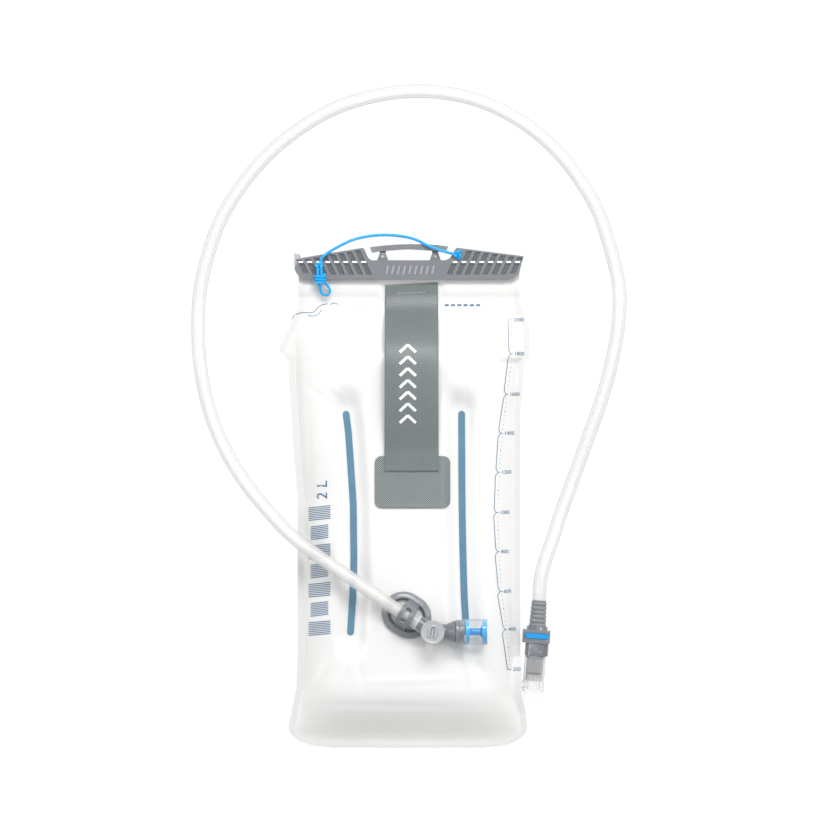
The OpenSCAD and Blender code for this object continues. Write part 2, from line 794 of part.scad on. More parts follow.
module coupler_body() {
    color(grey_plastic)
        port_frame() {
            difference() {
                union() {
                    translate([0.5, 0, 0])
                        yblock(0.7, latch_y0 + 1, 16.2, 14.4, 3.2);
                    translate([-0.4, 0, 0])
                        yblock(latch_y0, latch_y1, latch_w, latch_d, 3);
                    ycyl(latch_y1 - 1, relief_y, 7.4);
                    ycyl(latch_y1, barb_top, 3.15);
                    // shoulders that the hose holds on to
                    for (y = [26, 30, 34])
                        translate([0, y, 0])
                            rotate([-90, 0, 0])
                                cylinder(h = 1.6, r1 = 3.9, r2 = 3.15, $fn = fine);
                }
                ycyl(0, latch_y1 - 0.6, spigot_r + fit);
                ycyl(latch_y1 - 1, barb_top + 1, 1.9);
                // room for the latch plate, the button and its springs
                translate([-plate_w / 2 - 0.1, button_y - 1.3, -7])
                    cube([plate_w + 0.2, 2.6, 16]);
                translate([0, button_y, button_low - button_travel - 0.3])
                    linear_extrude(height = 6)
                        stadium(button_l + 0.5, button_w + 0.5);
                for (x = [-1, 1])
                    translate([x * spring_x, button_y, 1.4])
                        cylinder(h = 6, r = spring_hole_r, $fn = fine);
            }
            // pin that holds the poppet open, on a bridge across the channel
            ycyl(stem_top + fit, latch_y1 + 0.6, 0.9);
            translate([-2.4, latch_y1 - 0.4, -0.45])
                cube([4.8, 1, 0.9]);
        }
}

module strain_relief() {
    ribs = 6;
    step = relief_l / ribs;
    color(grey_plastic)
        port_frame()
            translate([0, relief_y, 0])
                rotate([-90, 0, 0])
                    rotate_extrude($fn = fine)
                        polygon(concat([[hose_d / 2 + 0.1, 0]],
                            [for (k = [0 : ribs - 1]) let(r = 6 - 0.12 * k, y = k * step)
                                each [[r, y], [r, y + step * 0.62], [r - 0.5, y + step * 0.66],
                                    [r - 0.5, y + step * 0.96]]],
                            [[5.1, relief_l], [hose_d / 2 + 0.1, relief_l]]));
}

button_low = 6.4;
button_high = latch_d / 2 + 0.6;

module release_button() {
    color(bright_blue)
        port_frame()
            translate([0, button_y, button_low])
                linear_extrude(height = button_high - button_low)
                    stadium(button_l, button_w);
}

module latch_plate() {
    low = -5.4;
    color("silver")
        port_frame()
            difference() {
                translate([-plate_w / 2, button_y - plate_t / 2, low])
                    cube([plate_w, plate_t, button_low - low]);
                for (z = [0, button_travel])
                    translate([0, 0, z])
                        ycyl(button_y - 2, button_y + 2, spigot_r + 0.25);
                translate([-spigot_r - 0.25, button_y - 2, 0])
                    cube([2 * spigot_r + 0.5, 4, button_travel]);
            }
}

module button_springs() {
    color("silver")
        port_frame()
            for (x = [-1, 1])
                translate([x * spring_x, button_y, 1.5])
                    coil(0.95, 0.2, button_low - 1.55, 4);
}

// ---- hose ----

// middle of the hose from inside the strain relief to the bite valve
hose_route = [[91, -76.3, 19], [92.3, -57.5, 18.8], [95.5, -45, 17], [100.5, -31, 13.5],
    [105.6, -15, 9.6], [115.2, 11.5, 5.6], [125.3, 39.6, 4.9], [135.3, 67.6, 4.9],
    [142.8, 95.6, 4.9], [147.4, 123.6, 4.9], [147, 151.5, 4.9], [135.4, 193.8, 4.9],
    [122.6, 218.5, 4.9], [104.6, 242, 4.9], [81.9, 261.4, 4.9], [57, 275, 4.9],
    [30.5, 282.6, 4.9], [2, 284.6, 4.9], [-26.6, 280.8, 4.9], [-53.5, 272, 4.9],
    [-78.2, 257.5, 4.9], [-100.6, 238.8, 4.9], [-119.2, 216.4, 4.9], [-132.8, 193.6, 4.9],
    [-142, 167.4, 4.9], [-147.2, 142.2, 4.9], [-148.4, 116.6, 4.9], [-146.8, 92, 4.9],
    [-142, 66.5, 5.2], [-132.6, 40, 8], [-116.4, 11.8, 16.5], [-93, -16.2, 30.5],
    [-77.5, -30.8, 38.5], [-62.3, -42, 44], [-48.3, -51.4, 47], [-34.3, -60.8, 48.6],
    [-20.5, -70.2, 49.4], [-9, -77.9, 49.5], [6.3, -87.4, 49.5]];

module drinking_hose() {
    color("whitesmoke", 0.7)
        sweep(refine(hose_route, 2), hose_d / 2, 10);
}

// ---- bite valve, in a frame at the middle of its knuckle ----

valve_at = [16.5, -93.8, 49.5];
inlet_turn = 148;
inlet_l = 11.9;
neck_r = 6.5;
knuckle_r = 7.6;
stem_r = 4.1;

module along_x(x0, x1, r) {
    translate([x0, 0, 0])
        rotate([0, 90, 0])
            cylinder(h = x1 - x0, r = r, $fn = fine);
}

module x_profile(points) {
    rotate([0, 90, 0])
        rotate_extrude($fn = fine)
            polygon(points);
}

module valve_body() {
    color(grey_plastic)
        translate(valve_at)
            difference() {
                union() {
                    translate([0, 0, -5.6])
                        cylinder(h = 11.2, r = knuckle_r, $fn = fine);
                    rotate([0, 0, inlet_turn])
                        x_profile([[0, 0], [5.5, 0], [5.5, inlet_l], [0, inlet_l]]);
                    x_profile([[0, 0], [5.5, 0], [5.5, 9.6], [8, 15.2], [7.6, 15.8],
                        [neck_r, 15.8], [neck_r, 21.5], [0, 21.5]]);
                }
                rotate([0, 0, inlet_turn])
                    along_x(0, inlet_l + 1, 2.2);
                along_x(0, 22.5, 2.4);
                translate([0, 0, -4.6])
                    cylinder(h = 14, r = stem_r + fit, $fn = fine);
            }
}

lever_z = 5.9;

module shutoff_lever() {
    color(clear_plastic, 0.8)
        translate(valve_at)
            difference() {
                union() {
                    translate([0, 0, lever_z])
                        cylinder(h = 2, r = lever_r, $fn = fine);
                    // raised hairpin grip on the disc
                    translate([0, 0, lever_z + 1.8])
                        rotate([0, 0, -12]) {
                            linear_extrude(height = 0.9)
                                difference() {
                                    translate([0, 0.6])
                                        rrect(6.4, 9.8, 3.1);
                                    translate([0, -0.6])
                                        rrect(4.2, 10, 2);
                                    translate([-4, -5])
                                        square([8, 2]);
                                }
                            translate([0, -1.2, 0])
                                linear_extrude(height = 0.9)
                                    rrect(1.6, 6.6, 0.7);
                        }
                    // tab that a thumb turns
                    rotate([0, 0, -102])
                        translate([6, -2.9, lever_z])
                            cube([8.4, 5.8, 2]);
                    translate([0, 0, -4.5])
                        cylinder(h = lever_z + 4.6, r = stem_r, $fn = fine);
                }
                // the water's way through the stem, with an open elbow
                translate([0, 0, -1.9])
                    linear_extrude(height = 3.8) {
                        circle(r = 2.5, $fn = fine);
                        for (a = [0, inlet_turn])
                            rotate(a)
                                translate([0, -1.9])
                                    square([6, 3.8]);
                    }
                translate([0, 0, 3.2])
                    rotate_extrude($fn = fine)
                        translate([stem_r - 0.7, 0])
                            square([2, 1.3]);
            }
}

module spindle_oring() {
    color("black")
        translate(valve_at + [0, 0, 3.85])
            rotate_extrude($fn = fine)
                translate([stem_r - 0.36, 0])
                    circle(r = 0.34, $fn = 24);
}

module bite_collar() {
    color(grey_plastic)
        translate(valve_at)
            x_profile([[neck_r + fit, 16], [8.3, 16], [8.3, 18.4], [7.9, 18.8], [7.9, 22],
                [neck_r + fit, 22]]);
}

module bite_sheath() {
    in_r = sheath_r - sheath_t;
    color(clear_plastic, 0.5)
        translate(valve_at)
            x_profile([[7.95, 19], [sheath_r - 0.2, 19], [sheath_r - 0.7, 21], [sheath_r, 23],
                [sheath_r, 37.6], [sheath_r - 0.4, 38.2], [in_r - 0.4, 38.2], [in_r, 37.4],
                [in_r, 23], [7.95, 22]]);
}

module bite_core() {
    in_r = sheath_r - sheath_t - fit;
    color(bright_blue)
        translate(valve_at)
            difference() {
                x_profile([[0, 23.2], [in_r, 23.2], [in_r, 25.6], [3, 25.6], [2.4, 27],
                    [2.4, 33], [5, 34.6], [in_r, 34.6], [in_r, 37.2], [7.4, 37.9], [0, 37.9]]);
                // water passages through both discs
                for (a = [0 : 45 : 315])
                    rotate([a, 0, 0])
                        translate([0, 0, 5.7]) {
                            along_x(22, 27, 1.3);
                            along_x(34, 39, 1.3);
                        }
            }
}

// ---- clip on the hose ----

clip_at = [-2.2, -82.1, valve_at[2]];
clip_turn = -32;
ring_z = front_z + 0.35;
saddle_z = ring_z + ring_t - 0.3;

module clip_outline(r) {
    for (x = [-ring_long / 2, ring_long / 2])
        translate([x, 0])
            circle(r = r, $fn = 72);
    square([ring_long, 2 * r], center = true);
}

module clip_ring() {
    color(grey_plastic)
        translate([clip_at[0] + 0.6, clip_at[1] - 0.3, ring_z])
            rotate([0, 0, clip_turn])
                union() {
                    linear_extrude(height = ring_t)
                        difference() {
                            clip_outline(ring_r);
                            clip_outline(ring_r - ring_w);
                        }
                    translate([-4.5, -ring_r + 1, 0])
                        cube([9, 2 * ring_r - 2, ring_t - 0.3]);
                }
}

module clip_saddle() {
    low = saddle_z - clip_at[2];
    color(grey_plastic)
        translate(clip_at)
            rotate([0, 0, clip_turn])
                difference() {
                    translate([-5, 0, 0])
                        rotate([90, 0, 90])
                            linear_extrude(height = 10)
                                intersection() {
                                    translate([0, -2.4])
                                        circle(r = 9.2, $fn = fine);
                                    translate([-8.6, low])
                                        square([17.2, 14]);
                                }
                    along_x(-6, 6, hose_d / 2 + 0.2);
                    translate([-1.8, -5.2, 3])
                        cube([3.6, 10.4, 8]);
                }
}

front_film();
back_film();
baffle(0);  // baffle_left
baffle(1);  // baffle_right
weld_strip(0);  // weld_strip_left
weld_strip(1);  // weld_strip_right
rail_front();
rail_back();
carry_strap();
strap_patch();
tether_eyelet();
tether_loop();
tether_cinch();
exit_port();
port_valve();
port_oring();
spigot_oring();
spring_seat();
poppet_spring();
poppet();
slide_bar();
hanger_arch();
hanger_pins();
tether_line();
tether_knot();
coupler_body();
strain_relief();
release_button();
latch_plate();
button_springs();
drinking_hose();
clip_ring();
clip_saddle();
valve_body();
shutoff_lever();
spindle_oring();
bite_collar();
bite_sheath();
bite_core();
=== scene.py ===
"""Looks of the hydration bladder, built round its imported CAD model."""
import math

import bmesh
import bpy
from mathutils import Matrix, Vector
from mathutils.bvhtree import BVHTree


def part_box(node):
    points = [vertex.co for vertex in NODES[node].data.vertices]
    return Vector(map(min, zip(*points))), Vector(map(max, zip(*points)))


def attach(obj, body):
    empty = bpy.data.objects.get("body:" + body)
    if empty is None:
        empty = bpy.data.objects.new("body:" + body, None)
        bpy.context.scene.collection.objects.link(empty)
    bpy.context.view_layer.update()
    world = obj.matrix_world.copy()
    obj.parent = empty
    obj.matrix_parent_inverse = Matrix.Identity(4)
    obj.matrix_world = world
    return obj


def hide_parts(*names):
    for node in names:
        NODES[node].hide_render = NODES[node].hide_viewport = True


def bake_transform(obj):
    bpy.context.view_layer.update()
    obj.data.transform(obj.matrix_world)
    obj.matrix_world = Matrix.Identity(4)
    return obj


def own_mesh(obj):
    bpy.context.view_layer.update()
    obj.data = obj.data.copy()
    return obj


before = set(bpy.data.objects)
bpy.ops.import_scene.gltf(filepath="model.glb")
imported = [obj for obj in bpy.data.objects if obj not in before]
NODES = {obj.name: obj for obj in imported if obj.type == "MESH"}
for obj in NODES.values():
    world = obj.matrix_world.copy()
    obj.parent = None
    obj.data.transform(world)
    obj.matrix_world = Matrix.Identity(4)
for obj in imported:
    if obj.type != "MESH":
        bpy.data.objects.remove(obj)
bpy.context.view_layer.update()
MM = 0.001

# ---------------------------------------------------------------- camera

camera = bpy.data.objects.new("camera", bpy.data.cameras.new("camera"))
bpy.context.scene.collection.objects.link(camera)
camera.location = (0.0077, 0.0535, 4.0)
camera.data.lens = 243.5
camera.data.clip_end = 20
bpy.context.scene.camera = camera

# ---------------------------------------------------------------- sizes in mm

BASE_Y, NECK_Y, BAR_Y, MOUTH_Y = -176.0, 140.0, 152.0, 161.6
WELD_Y0, WELD_Y1 = -97.0, 60.0
SEAM_Z, FILM_T, RISE, BAFFLE_H = 19.0, 0.6, 20.4, 31.5
HALF, FLARE, MARGIN = 78.0, 5.5, 5.0
FLAP_LEFT, FLAP_RIGHT = 13.0, 6.5
CORNER_H, CORNER_W = 14.0, 32.0
NECK_HALF = HALF - 0.6
PORT = (HALF + 10.5, BASE_Y + 63.8, SEAM_Z)
PORT_LEAN = math.radians(-4)
BOAT_Y = PORT[1] - 19.6
HOSE_D = 9.5
CORD_D = 2.0
VALVE = (16.5, -93.8, 49.5)
PEG = (-58.3, NECK_Y + 3.9, SEAM_Z + FILM_T)
KNOT_HOLE = (34.1, 169.1)

LEFT = [(BASE_Y + CORNER_H, HALF + FLARE + 0.9), (BASE_Y + 26, HALF + FLARE - 1.5),
        (BASE_Y + 41, HALF + 1), (BASE_Y + 66, HALF), (WELD_Y1 - 60, HALF),
        (WELD_Y1 - 28, HALF + 3), (NECK_Y - 52, HALF + 6.5), (NECK_Y - 43, HALF + 6.5),
        (NECK_Y - 39, HALF + FLAP_LEFT), (NECK_Y - 36, HALF + FLAP_LEFT - 0.4),
        (NECK_Y - 28, HALF + FLAP_LEFT - 4), (NECK_Y - 18, HALF + 4),
        (NECK_Y - 11, HALF + 1), (NECK_Y - 5, NECK_HALF), (MOUTH_Y, NECK_HALF)]
RIGHT = [(BASE_Y + CORNER_H, HALF + FLARE - 0.7), (BASE_Y + 26, HALF + FLARE - 2),
         (BASE_Y + 37, HALF + 0.6), (BASE_Y + 66, HALF), (NECK_Y - 80, HALF),
         (NECK_Y - 60, HALF + 2), (NECK_Y - 46, HALF + 2.5), (NECK_Y - 43, HALF + 6),
         (NECK_Y - 36, HALF + 6.3), (NECK_Y - 28, HALF + FLAP_RIGHT),
         (NECK_Y - 18, HALF + 5), (NECK_Y - 11, HALF + 1.5), (NECK_Y - 5, NECK_HALF),
         (MOUTH_Y, NECK_HALF)]
BAFFLE = [[(WELD_Y0, -41), (WELD_Y0 + 25, -39.4), (WELD_Y0 + 47, -38.4),
           (WELD_Y1 - 65, -38.9), (WELD_Y1 - 33, -41), (WELD_Y1 - 14, -42.4),
           (WELD_Y1, -44.2)],
          [(WELD_Y0, 40.2), (WELD_Y0 + 29, 38.5), (WELD_Y0 + 62, 37.6),
           (WELD_Y1 - 60, 37), (WELD_Y1, 36.8)]]

HOSE_ROUTE = [
    (91, -76.3, 19), (92.3, -57.5, 18.8), (95.5, -45, 17), (100.5, -31, 13.5),
    (105.6, -15, 9.6), (115.2, 11.5, 5.6), (125.3, 39.6, 4.9), (135.3, 67.6, 4.9),
    (142.8, 95.6, 4.9), (147.4, 123.6, 4.9), (147, 151.5, 4.9), (135.4, 193.8, 4.9),
    (122.6, 218.5, 4.9), (104.6, 242, 4.9), (81.9, 261.4, 4.9), (57, 275, 4.9),
    (30.5, 282.6, 4.9), (2, 284.6, 4.9), (-26.6, 280.8, 4.9), (-53.5, 272, 4.9),
    (-78.2, 257.5, 4.9), (-100.6, 238.8, 4.9), (-119.2, 216.4, 4.9), (-132.8, 193.6, 4.9),
    (-142, 167.4, 4.9), (-147.2, 142.2, 4.9), (-148.4, 116.6, 4.9), (-146.8, 92, 4.9),
    (-142, 66.5, 5.2), (-132.6, 40, 8), (-116.4, 11.8, 16.5), (-93, -16.2, 30.5),
    (-77.5, -30.8, 38.5), (-62.3, -42, 44), (-48.3, -51.4, 47), (-34.3, -60.8, 48.6),
    (-20.5, -70.2, 49.4), (-9, -77.9, 49.5), (6.3, -87.4, 49.5)]
# from the knot in the bar, over it, and round the peg, measured from the peg's foot
TETHER_ROUTE = [
    (89.8, 25.7, 8.2), (84.3, 27.1, 7.6), (78.3, 28.9, 6.6), (71.3, 31.7, 4.7),
    (65.3, 34.9, 2.4), (58.3, 37.4, 0.6), (48.3, 38.9, 0.2), (38.3, 39.1, 1.6),
    (29.3, 38.1, 3.9), (19.3, 35.7, 6.4), (10.3, 31.6, 7.5), (1.8, 26.6, 7.8),
    (-2.3, 23.1, 7.8), (-3.4, 20.4, 7.8), (-2.8, 18.1, 7.8), (-3, 14.1, 7.8),
    (-2.5, 10.1, 7.8), (-0.9, 6.1, 7.2), (1.7, 2.9, 5.8), (2.9, 0, 5), (1.9, -2.3, 4.8),
    (-0.3, -3, 4.8), (-2.5, -1.9, 5), (-3.7, 1.1, 5.6), (-4.7, 5.1, 7), (-5.2, 9.1, 7.8),
    (-5.5, 14.1, 7.8), (-5.6, 16.6, 7.8)]


def clamp(t):
    return min(1.0, max(0.0, t))


def smooth(t):
    t = clamp(t)
    return t * t * (3 - 2 * t)


def lookup(y, table):
    """Value of a table of (place, value) at y, straight between its entries."""
    if y <= table[0][0]:
        return table[0][1]
    for (a, va), (b, vb) in zip(table, table[1:]):
        if y <= b:
            return va + (vb - va) * (y - a) / (b - a)
    return table[-1][1]


def spline_point(p, i, t):
    a, b = p[max(0, i - 1)], p[i]
    c, d = p[i + 1], p[min(len(p) - 1, i + 2)]
    return tuple(0.5 * (2 * b[k] + (c[k] - a[k]) * t
                        + (2 * a[k] - 5 * b[k] + 4 * c[k] - d[k]) * t * t
                        + (3 * b[k] - a[k] - 3 * c[k] + d[k]) * t ** 3)
                 for k in range(len(b)))


def refine(points, steps):
    """The route with points worked out between the chosen ones."""
    out = [spline_point(points, i, k / steps)
           for i in range(len(points) - 1) for k in range(steps)]
    return out + [tuple(points[-1])]


def metres(points, origin=(0, 0, 0)):
    return [Vector([(p[k] + origin[k]) * MM for k in range(3)]) for p in points]


# ---------------------------------------------------------------- film shape

def half_width(y, side):
    if y < BASE_Y + CORNER_H:
        t = (BASE_Y + CORNER_H - y) / CORNER_H
        return side[0][1] - CORNER_W * (1 - math.sqrt(max(0.0, 1 - t * t)))
    return lookup(y, side)


def inner_width(y, side):
    return min(half_width(y, side), HALF + 6.5) - MARGIN


def swell(y):
    return smooth((y - BASE_Y - MARGIN) / 38) ** 0.7 * smooth((NECK_Y - 2 - y) / 48)


def crown(u):
    return max(0.0, 1 - abs(u) ** 4) ** 0.8


def lane(y, n):
    if n == 0:
        return max(lookup(y, BAFFLE[0]), 20 - inner_width(y, LEFT))
    return min(lookup(y, BAFFLE[1]), inner_width(y, RIGHT) - 20)


def held(x, y, n):
    """1 where a baffle holds the front film down, 0 away from it."""
    d = abs(x - lane(y, n))
    return ((1 - smooth((d - 2.6) / 12)) * (1 - smooth((WELD_Y0 - y) / 20))
            * (1 - smooth((y - WELD_Y1) / 20)))


def port_lift(x, y):
    return 3.4 * max(0.0, 1 - ((y - BOAT_Y) / 20) ** 2) if x > 0 else 0.0


def spread(x, y):
    return swell(y) * crown(x / inner_width(y, LEFT if x < 0 else RIGHT))


def bump(x, y, cx, cy, rx, ry, lean=0.0):
    """Round hump of height 1 at a place, with its own reach along two directions."""
    c, s = math.cos(lean), math.sin(lean)
    u = ((x - cx) * c + (y - cy) * s) / rx
    v = (-(x - cx) * s + (y - cy) * c) / ry
    return math.exp(-u * u - v * v)


# shallow folds of the filled film: place, reach, lean and height
FOLDS = [(-58, 108, 3, 22, 0.45, 0.9), (-48, 104, 2.5, 20, 0.2, -0.7),
         (60, 106, 3, 24, -0.4, 0.8), (50, 101, 2.5, 20, -0.2, -0.6),
         (-32, 84, 3, 26, 0.1, 0.7), (34, 84, 3, 24, -0.1, 0.7),
         (-43, -118, 3, 17, -0.2, 1.0), (-35, -119, 2.5, 16, 0.25, -0.7),
         (41, -118, 3, 17, 0.2, 0.9), (48, -116, 2.5, 14, 0.5, -0.6),
         (-66, -132, 3, 18, -0.5, 0.8), (66, -130, 3, 18, 0.5, 0.8),
         (-70, 40, 2.4, 40, 0.03, -0.6), (69, 10, 2.4, 50, -0.02, -0.5),
         (-64, -60, 2.4, 42, -0.05, -0.5), (0, -128, 40, 2.6, 0.03, 0.8),
         (-12, -146, 44, 2.2, -0.02, -0.7), (-52, 76, 2.4, 18, 0.7, 0.8),
         (-56, 66, 2.2, 15, 0.9, -0.6), (45, 74, 2.4, 18, -0.6, 0.8)]


def creases(x, y):
    calm = 1 - max(held(x, y, 0), held(x, y, 1))
    room = smooth(spread(x, y) * 3)
    return 0.7 * calm * room * sum(h * bump(x, y, cx, cy, rx, ry, lean)
                             for cx, cy, rx, ry, lean, h in FOLDS)


def weld_lines(x, y):
    """Raised lines of the flat welds at the base and beside the neck."""
    z = 0.0
    if y < BASE_Y + 26:
        side = LEFT if x < 0 else RIGHT
        edge = half_width(y, side) - abs(x)
        for d in (1.4, 3.6):
            z += 0.22 * math.exp(-((min(edge, y - BASE_Y) - d) / 0.5) ** 2)
        z += 0.2 * math.exp(-((y - BASE_Y - 7.5) / 0.7) ** 2)
    if y > NECK_Y - 6:
        for c in (66.5, 72.5, -70.5):
            z += 0.25 * math.exp(-((x - c) / 0.6) ** 2)
    return z


def neck_roll(x, y):
    """Soft roll of the film between the neck weld and the slide bar."""
    clear = smooth((abs(x - 1.8) - 20.5) / 3)
    t = (y - NECK_Y - 0.5) / 11
    return clear * 1.1 * max(0.0, 1 - (2 * t - 1) ** 2) ** 0.6 if 0 < t < 1 else 0.0


def front_z(x, y):
    z = SEAM_Z + max(port_lift(x, y), RISE * spread(x, y))
    k = max(held(x, y, 0), held(x, y, 1))
    z += (min(z, BAFFLE_H - FILM_T) - z) * k
    return z + FILM_T + creases(x, y) + weld_lines(x, y) + neck_roll(x, y)


def back_z(x, y):
    return max(FILM_T, SEAM_Z - max(port_lift(x, y), (SEAM_Z - FILM_T) * 1.3
                                    * spread(x, y))) - FILM_T


# ---------------------------------------------------------------- modelling helpers

def deselect():
    if bpy.context.object and bpy.context.object.mode != "OBJECT":
        bpy.ops.object.mode_set(mode="OBJECT")
    bpy.ops.object.select_all(action="DESELECT")


def only(obj):
    deselect()
    obj.select_set(True)
    bpy.context.view_layer.objects.active = obj


def apply_modifier(obj, kind, **values):
    only(obj)
    mod = obj.modifiers.new(kind.lower(), kind)
    for key, value in values.items():
        setattr(mod, key, value)
    bpy.ops.object.modifier_apply(modifier=mod.name)


def settle(obj, angle=40):
    """Puts the object's place into its mesh and smooths what isn't a sharp edge."""
    only(obj)
    bpy.ops.object.transform_apply(location=True, rotation=True, scale=True)
    bpy.ops.object.shade_smooth_by_angle(angle=math.radians(angle))


def tidy_normals(obj):
    only(obj)
    bpy.ops.object.mode_set(mode="EDIT")
    bpy.ops.mesh.select_all(action="SELECT")
    bpy.ops.mesh.remove_doubles(threshold=0.00001)
    bpy.ops.mesh.normals_make_consistent(inside=False)
    bpy.ops.object.mode_set(mode="OBJECT")


def coat(obj, material):
    obj.data.materials.clear()
    obj.data.materials.append(material)


def placed(obj, name, material, body, slot, *nodes):
    """Names, coats and mounts a new piece, standing for its CAD nodes."""
    obj.name = name
    obj.data.name = name
    coat(obj, material)
    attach(obj, body)
    if nodes:
        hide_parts(*nodes)
    return obj


def grid(name, across, along, place):
    """Sheet of film or webbing: a grid whose points are moved to place(s, t)."""
    deselect()
    bpy.ops.mesh.primitive_grid_add(x_subdivisions=across, y_subdivisions=along, size=1)
    obj = bpy.context.object
    obj.name = name
    for v in obj.data.vertices:
        s, t = v.co.x + 0.5, v.co.y + 0.5
        v.co = Vector(place(s, t)) * MM
    return obj


def tube(name, path, radius, sides=16, bore=0.0):
    """Round tube along a path in metres, closed at its ends, with a bore if it is a hose."""
    mesh = bpy.data.meshes.new(name)
    work = bmesh.new()
    walls = []
    for r in ((radius, bore) if bore else (radius,)):
        rings = []
        for i, p in enumerate(path):
            t = (path[min(len(path) - 1, i + 1)] - path[max(0, i - 1)]).normalized()
            s = t.cross(Vector((0, 0, 1)))
            if s.length < 0.05:
                s = t.cross(Vector((0, 1, 0)))
            s.normalize()
            u = s.cross(t)
            rings.append([work.verts.new(p + r * (math.cos(a) * s + math.sin(a) * u))
                          for a in [2 * math.pi * k / sides for k in range(sides)]])
        for low, high in zip(rings, rings[1:]):
            for k in range(sides):
                work.faces.new((low[k], high[k], high[(k + 1) % sides], low[(k + 1) % sides]))
        walls.append(rings)
    for end in (0, -1):
        if bore:
            out, inn = walls[0][end], walls[1][end]
            for k in range(sides):
                work.faces.new((out[k], out[(k + 1) % sides], inn[(k + 1) % sides], inn[k]))
        else:
            work.faces.new(walls[0][end])
    bmesh.ops.recalc_face_normals(work, faces=work.faces)
    for f in work.faces:
        f.smooth = len(f.verts) == 4
    work.loops.layers.uv.new("along")
    length = [0.0]
    for a, b in zip(path, path[1:]):
        length.append(length[-1] + (b - a).length)
    work.to_mesh(mesh)
    work.free()
    layer = mesh.uv_layers["along"].data
    count = len(path)
    for poly in mesh.polygons:
        ring = [(mesh.loops[i].vertex_index % (sides * count)) for i in poly.loop_indices]
        wrap = {n % sides for n in ring} == {0, sides - 1}
        for i, n in zip(poly.loop_indices, ring):
            k = sides if wrap and n % sides == 0 else n % sides
            layer[i].uv = (k / sides * 2 * math.pi * radius / MM, length[n // sides] / MM)
    obj = bpy.data.objects.new(name, mesh)
    bpy.context.scene.collection.objects.link(obj)
    return obj


# ---------------------------------------------------------------- finishes

def group(name, inputs, outputs):
    """Empty effect group: its tree, and its input and output nodes."""
    tree = bpy.data.node_groups.new(name, "ShaderNodeTree")
    for label, kind, value in inputs:
        socket = tree.interface.new_socket(label, in_out="INPUT", socket_type=kind)
        if value is not None:
            socket.default_value = value
    for label in outputs:
        tree.interface.new_socket(label, in_out="OUTPUT", socket_type="NodeSocketFloat")
    return tree, tree.nodes.new("NodeGroupInput"), tree.nodes.new("NodeGroupOutput")


def maths(tree, operation, a, b=None, c=None):
    node = tree.nodes.new("ShaderNodeMath")
    node.operation = operation
    for socket, value in zip(node.inputs, (a, b, c)):
        if value is None:
            continue
        if isinstance(value, (int, float)):
            socket.default_value = value
        else:
            tree.links.new(value, socket)
    return node.outputs[0]


def noise(tree, vector, scale, detail=3.0, rough=0.5):
    node = tree.nodes.new("ShaderNodeTexNoise")
    node.inputs["Detail"].default_value = detail
    node.inputs["Roughness"].default_value = rough
    if isinstance(scale, (int, float)):
        node.inputs["Scale"].default_value = scale
    else:
        tree.links.new(scale, node.inputs["Scale"])
    tree.links.new(vector, node.inputs["Vector"])
    return node.outputs["Fac"]


def make_moulded_grain():
    """Fine spark-eroded grain of a moulded surface, with slow shade variation."""
    tree, start, end = group("moulded_grain", [
        ("Vector", "NodeSocketVector", None), ("Fineness", "NodeSocketFloat", 900.0),
        ("Blotch", "NodeSocketFloat", 40.0)], ("Height", "Shade"))
    tree.links.new(noise(tree, start.outputs["Vector"], start.outputs["Fineness"], 2.0),
                   end.inputs["Height"])
    tree.links.new(noise(tree, start.outputs["Vector"], start.outputs["Blotch"], 4.0),
                   end.inputs["Shade"])
    return tree


def make_edge_wear():
    """Mask of rubbed convex edges, broken up by noise."""
    tree, start, end = group("edge_wear", [
        ("Vector", "NodeSocketVector", None), ("Start", "NodeSocketFloat", 0.52),
        ("Full", "NodeSocketFloat", 0.62)], ("Mask",))
    shape = tree.nodes.new("ShaderNodeNewGeometry")
    reach = tree.nodes.new("ShaderNodeMapRange")
    tree.links.new(shape.outputs["Pointiness"], reach.inputs["Value"])
    tree.links.new(start.outputs["Start"], reach.inputs["From Min"])
    tree.links.new(start.outputs["Full"], reach.inputs["From Max"])
    broken = noise(tree, start.outputs["Vector"], 350.0, 3.0)
    tree.links.new(maths(tree, "MULTIPLY", reach.outputs[0],
                         maths(tree, "MULTIPLY_ADD", broken, 1.2, 0.1)), end.inputs["Mask"])
    return tree


def make_diamond_weave():
    """Diamond-shaped cells of a woven band: their height and the light dots between them."""
    tree, start, end = group("diamond_weave", [
        ("Vector", "NodeSocketVector", None), ("Cells", "NodeSocketFloat", 2000.0)],
        ("Height", "Dots"))
    parts = tree.nodes.new("ShaderNodeSeparateXYZ")
    tree.links.new(start.outputs["Vector"], parts.inputs[0])
    x = maths(tree, "MULTIPLY", parts.outputs["X"], start.outputs["Cells"])
    y = maths(tree, "MULTIPLY", parts.outputs["Y"], start.outputs["Cells"])
    one = maths(tree, "ABSOLUTE", maths(tree, "SINE", maths(tree, "ADD", x, y)))
    two = maths(tree, "ABSOLUTE", maths(tree, "SINE", maths(tree, "SUBTRACT", x, y)))
    cell = maths(tree, "MULTIPLY", one, two)
    tree.links.new(maths(tree, "POWER", cell, 0.6), end.inputs["Height"])
    tree.links.new(maths(tree, "GREATER_THAN", cell, 0.62), end.inputs["Dots"])
    return tree


GRAIN, WEAR, WEAVE = make_moulded_grain(), make_edge_wear(), make_diamond_weave()


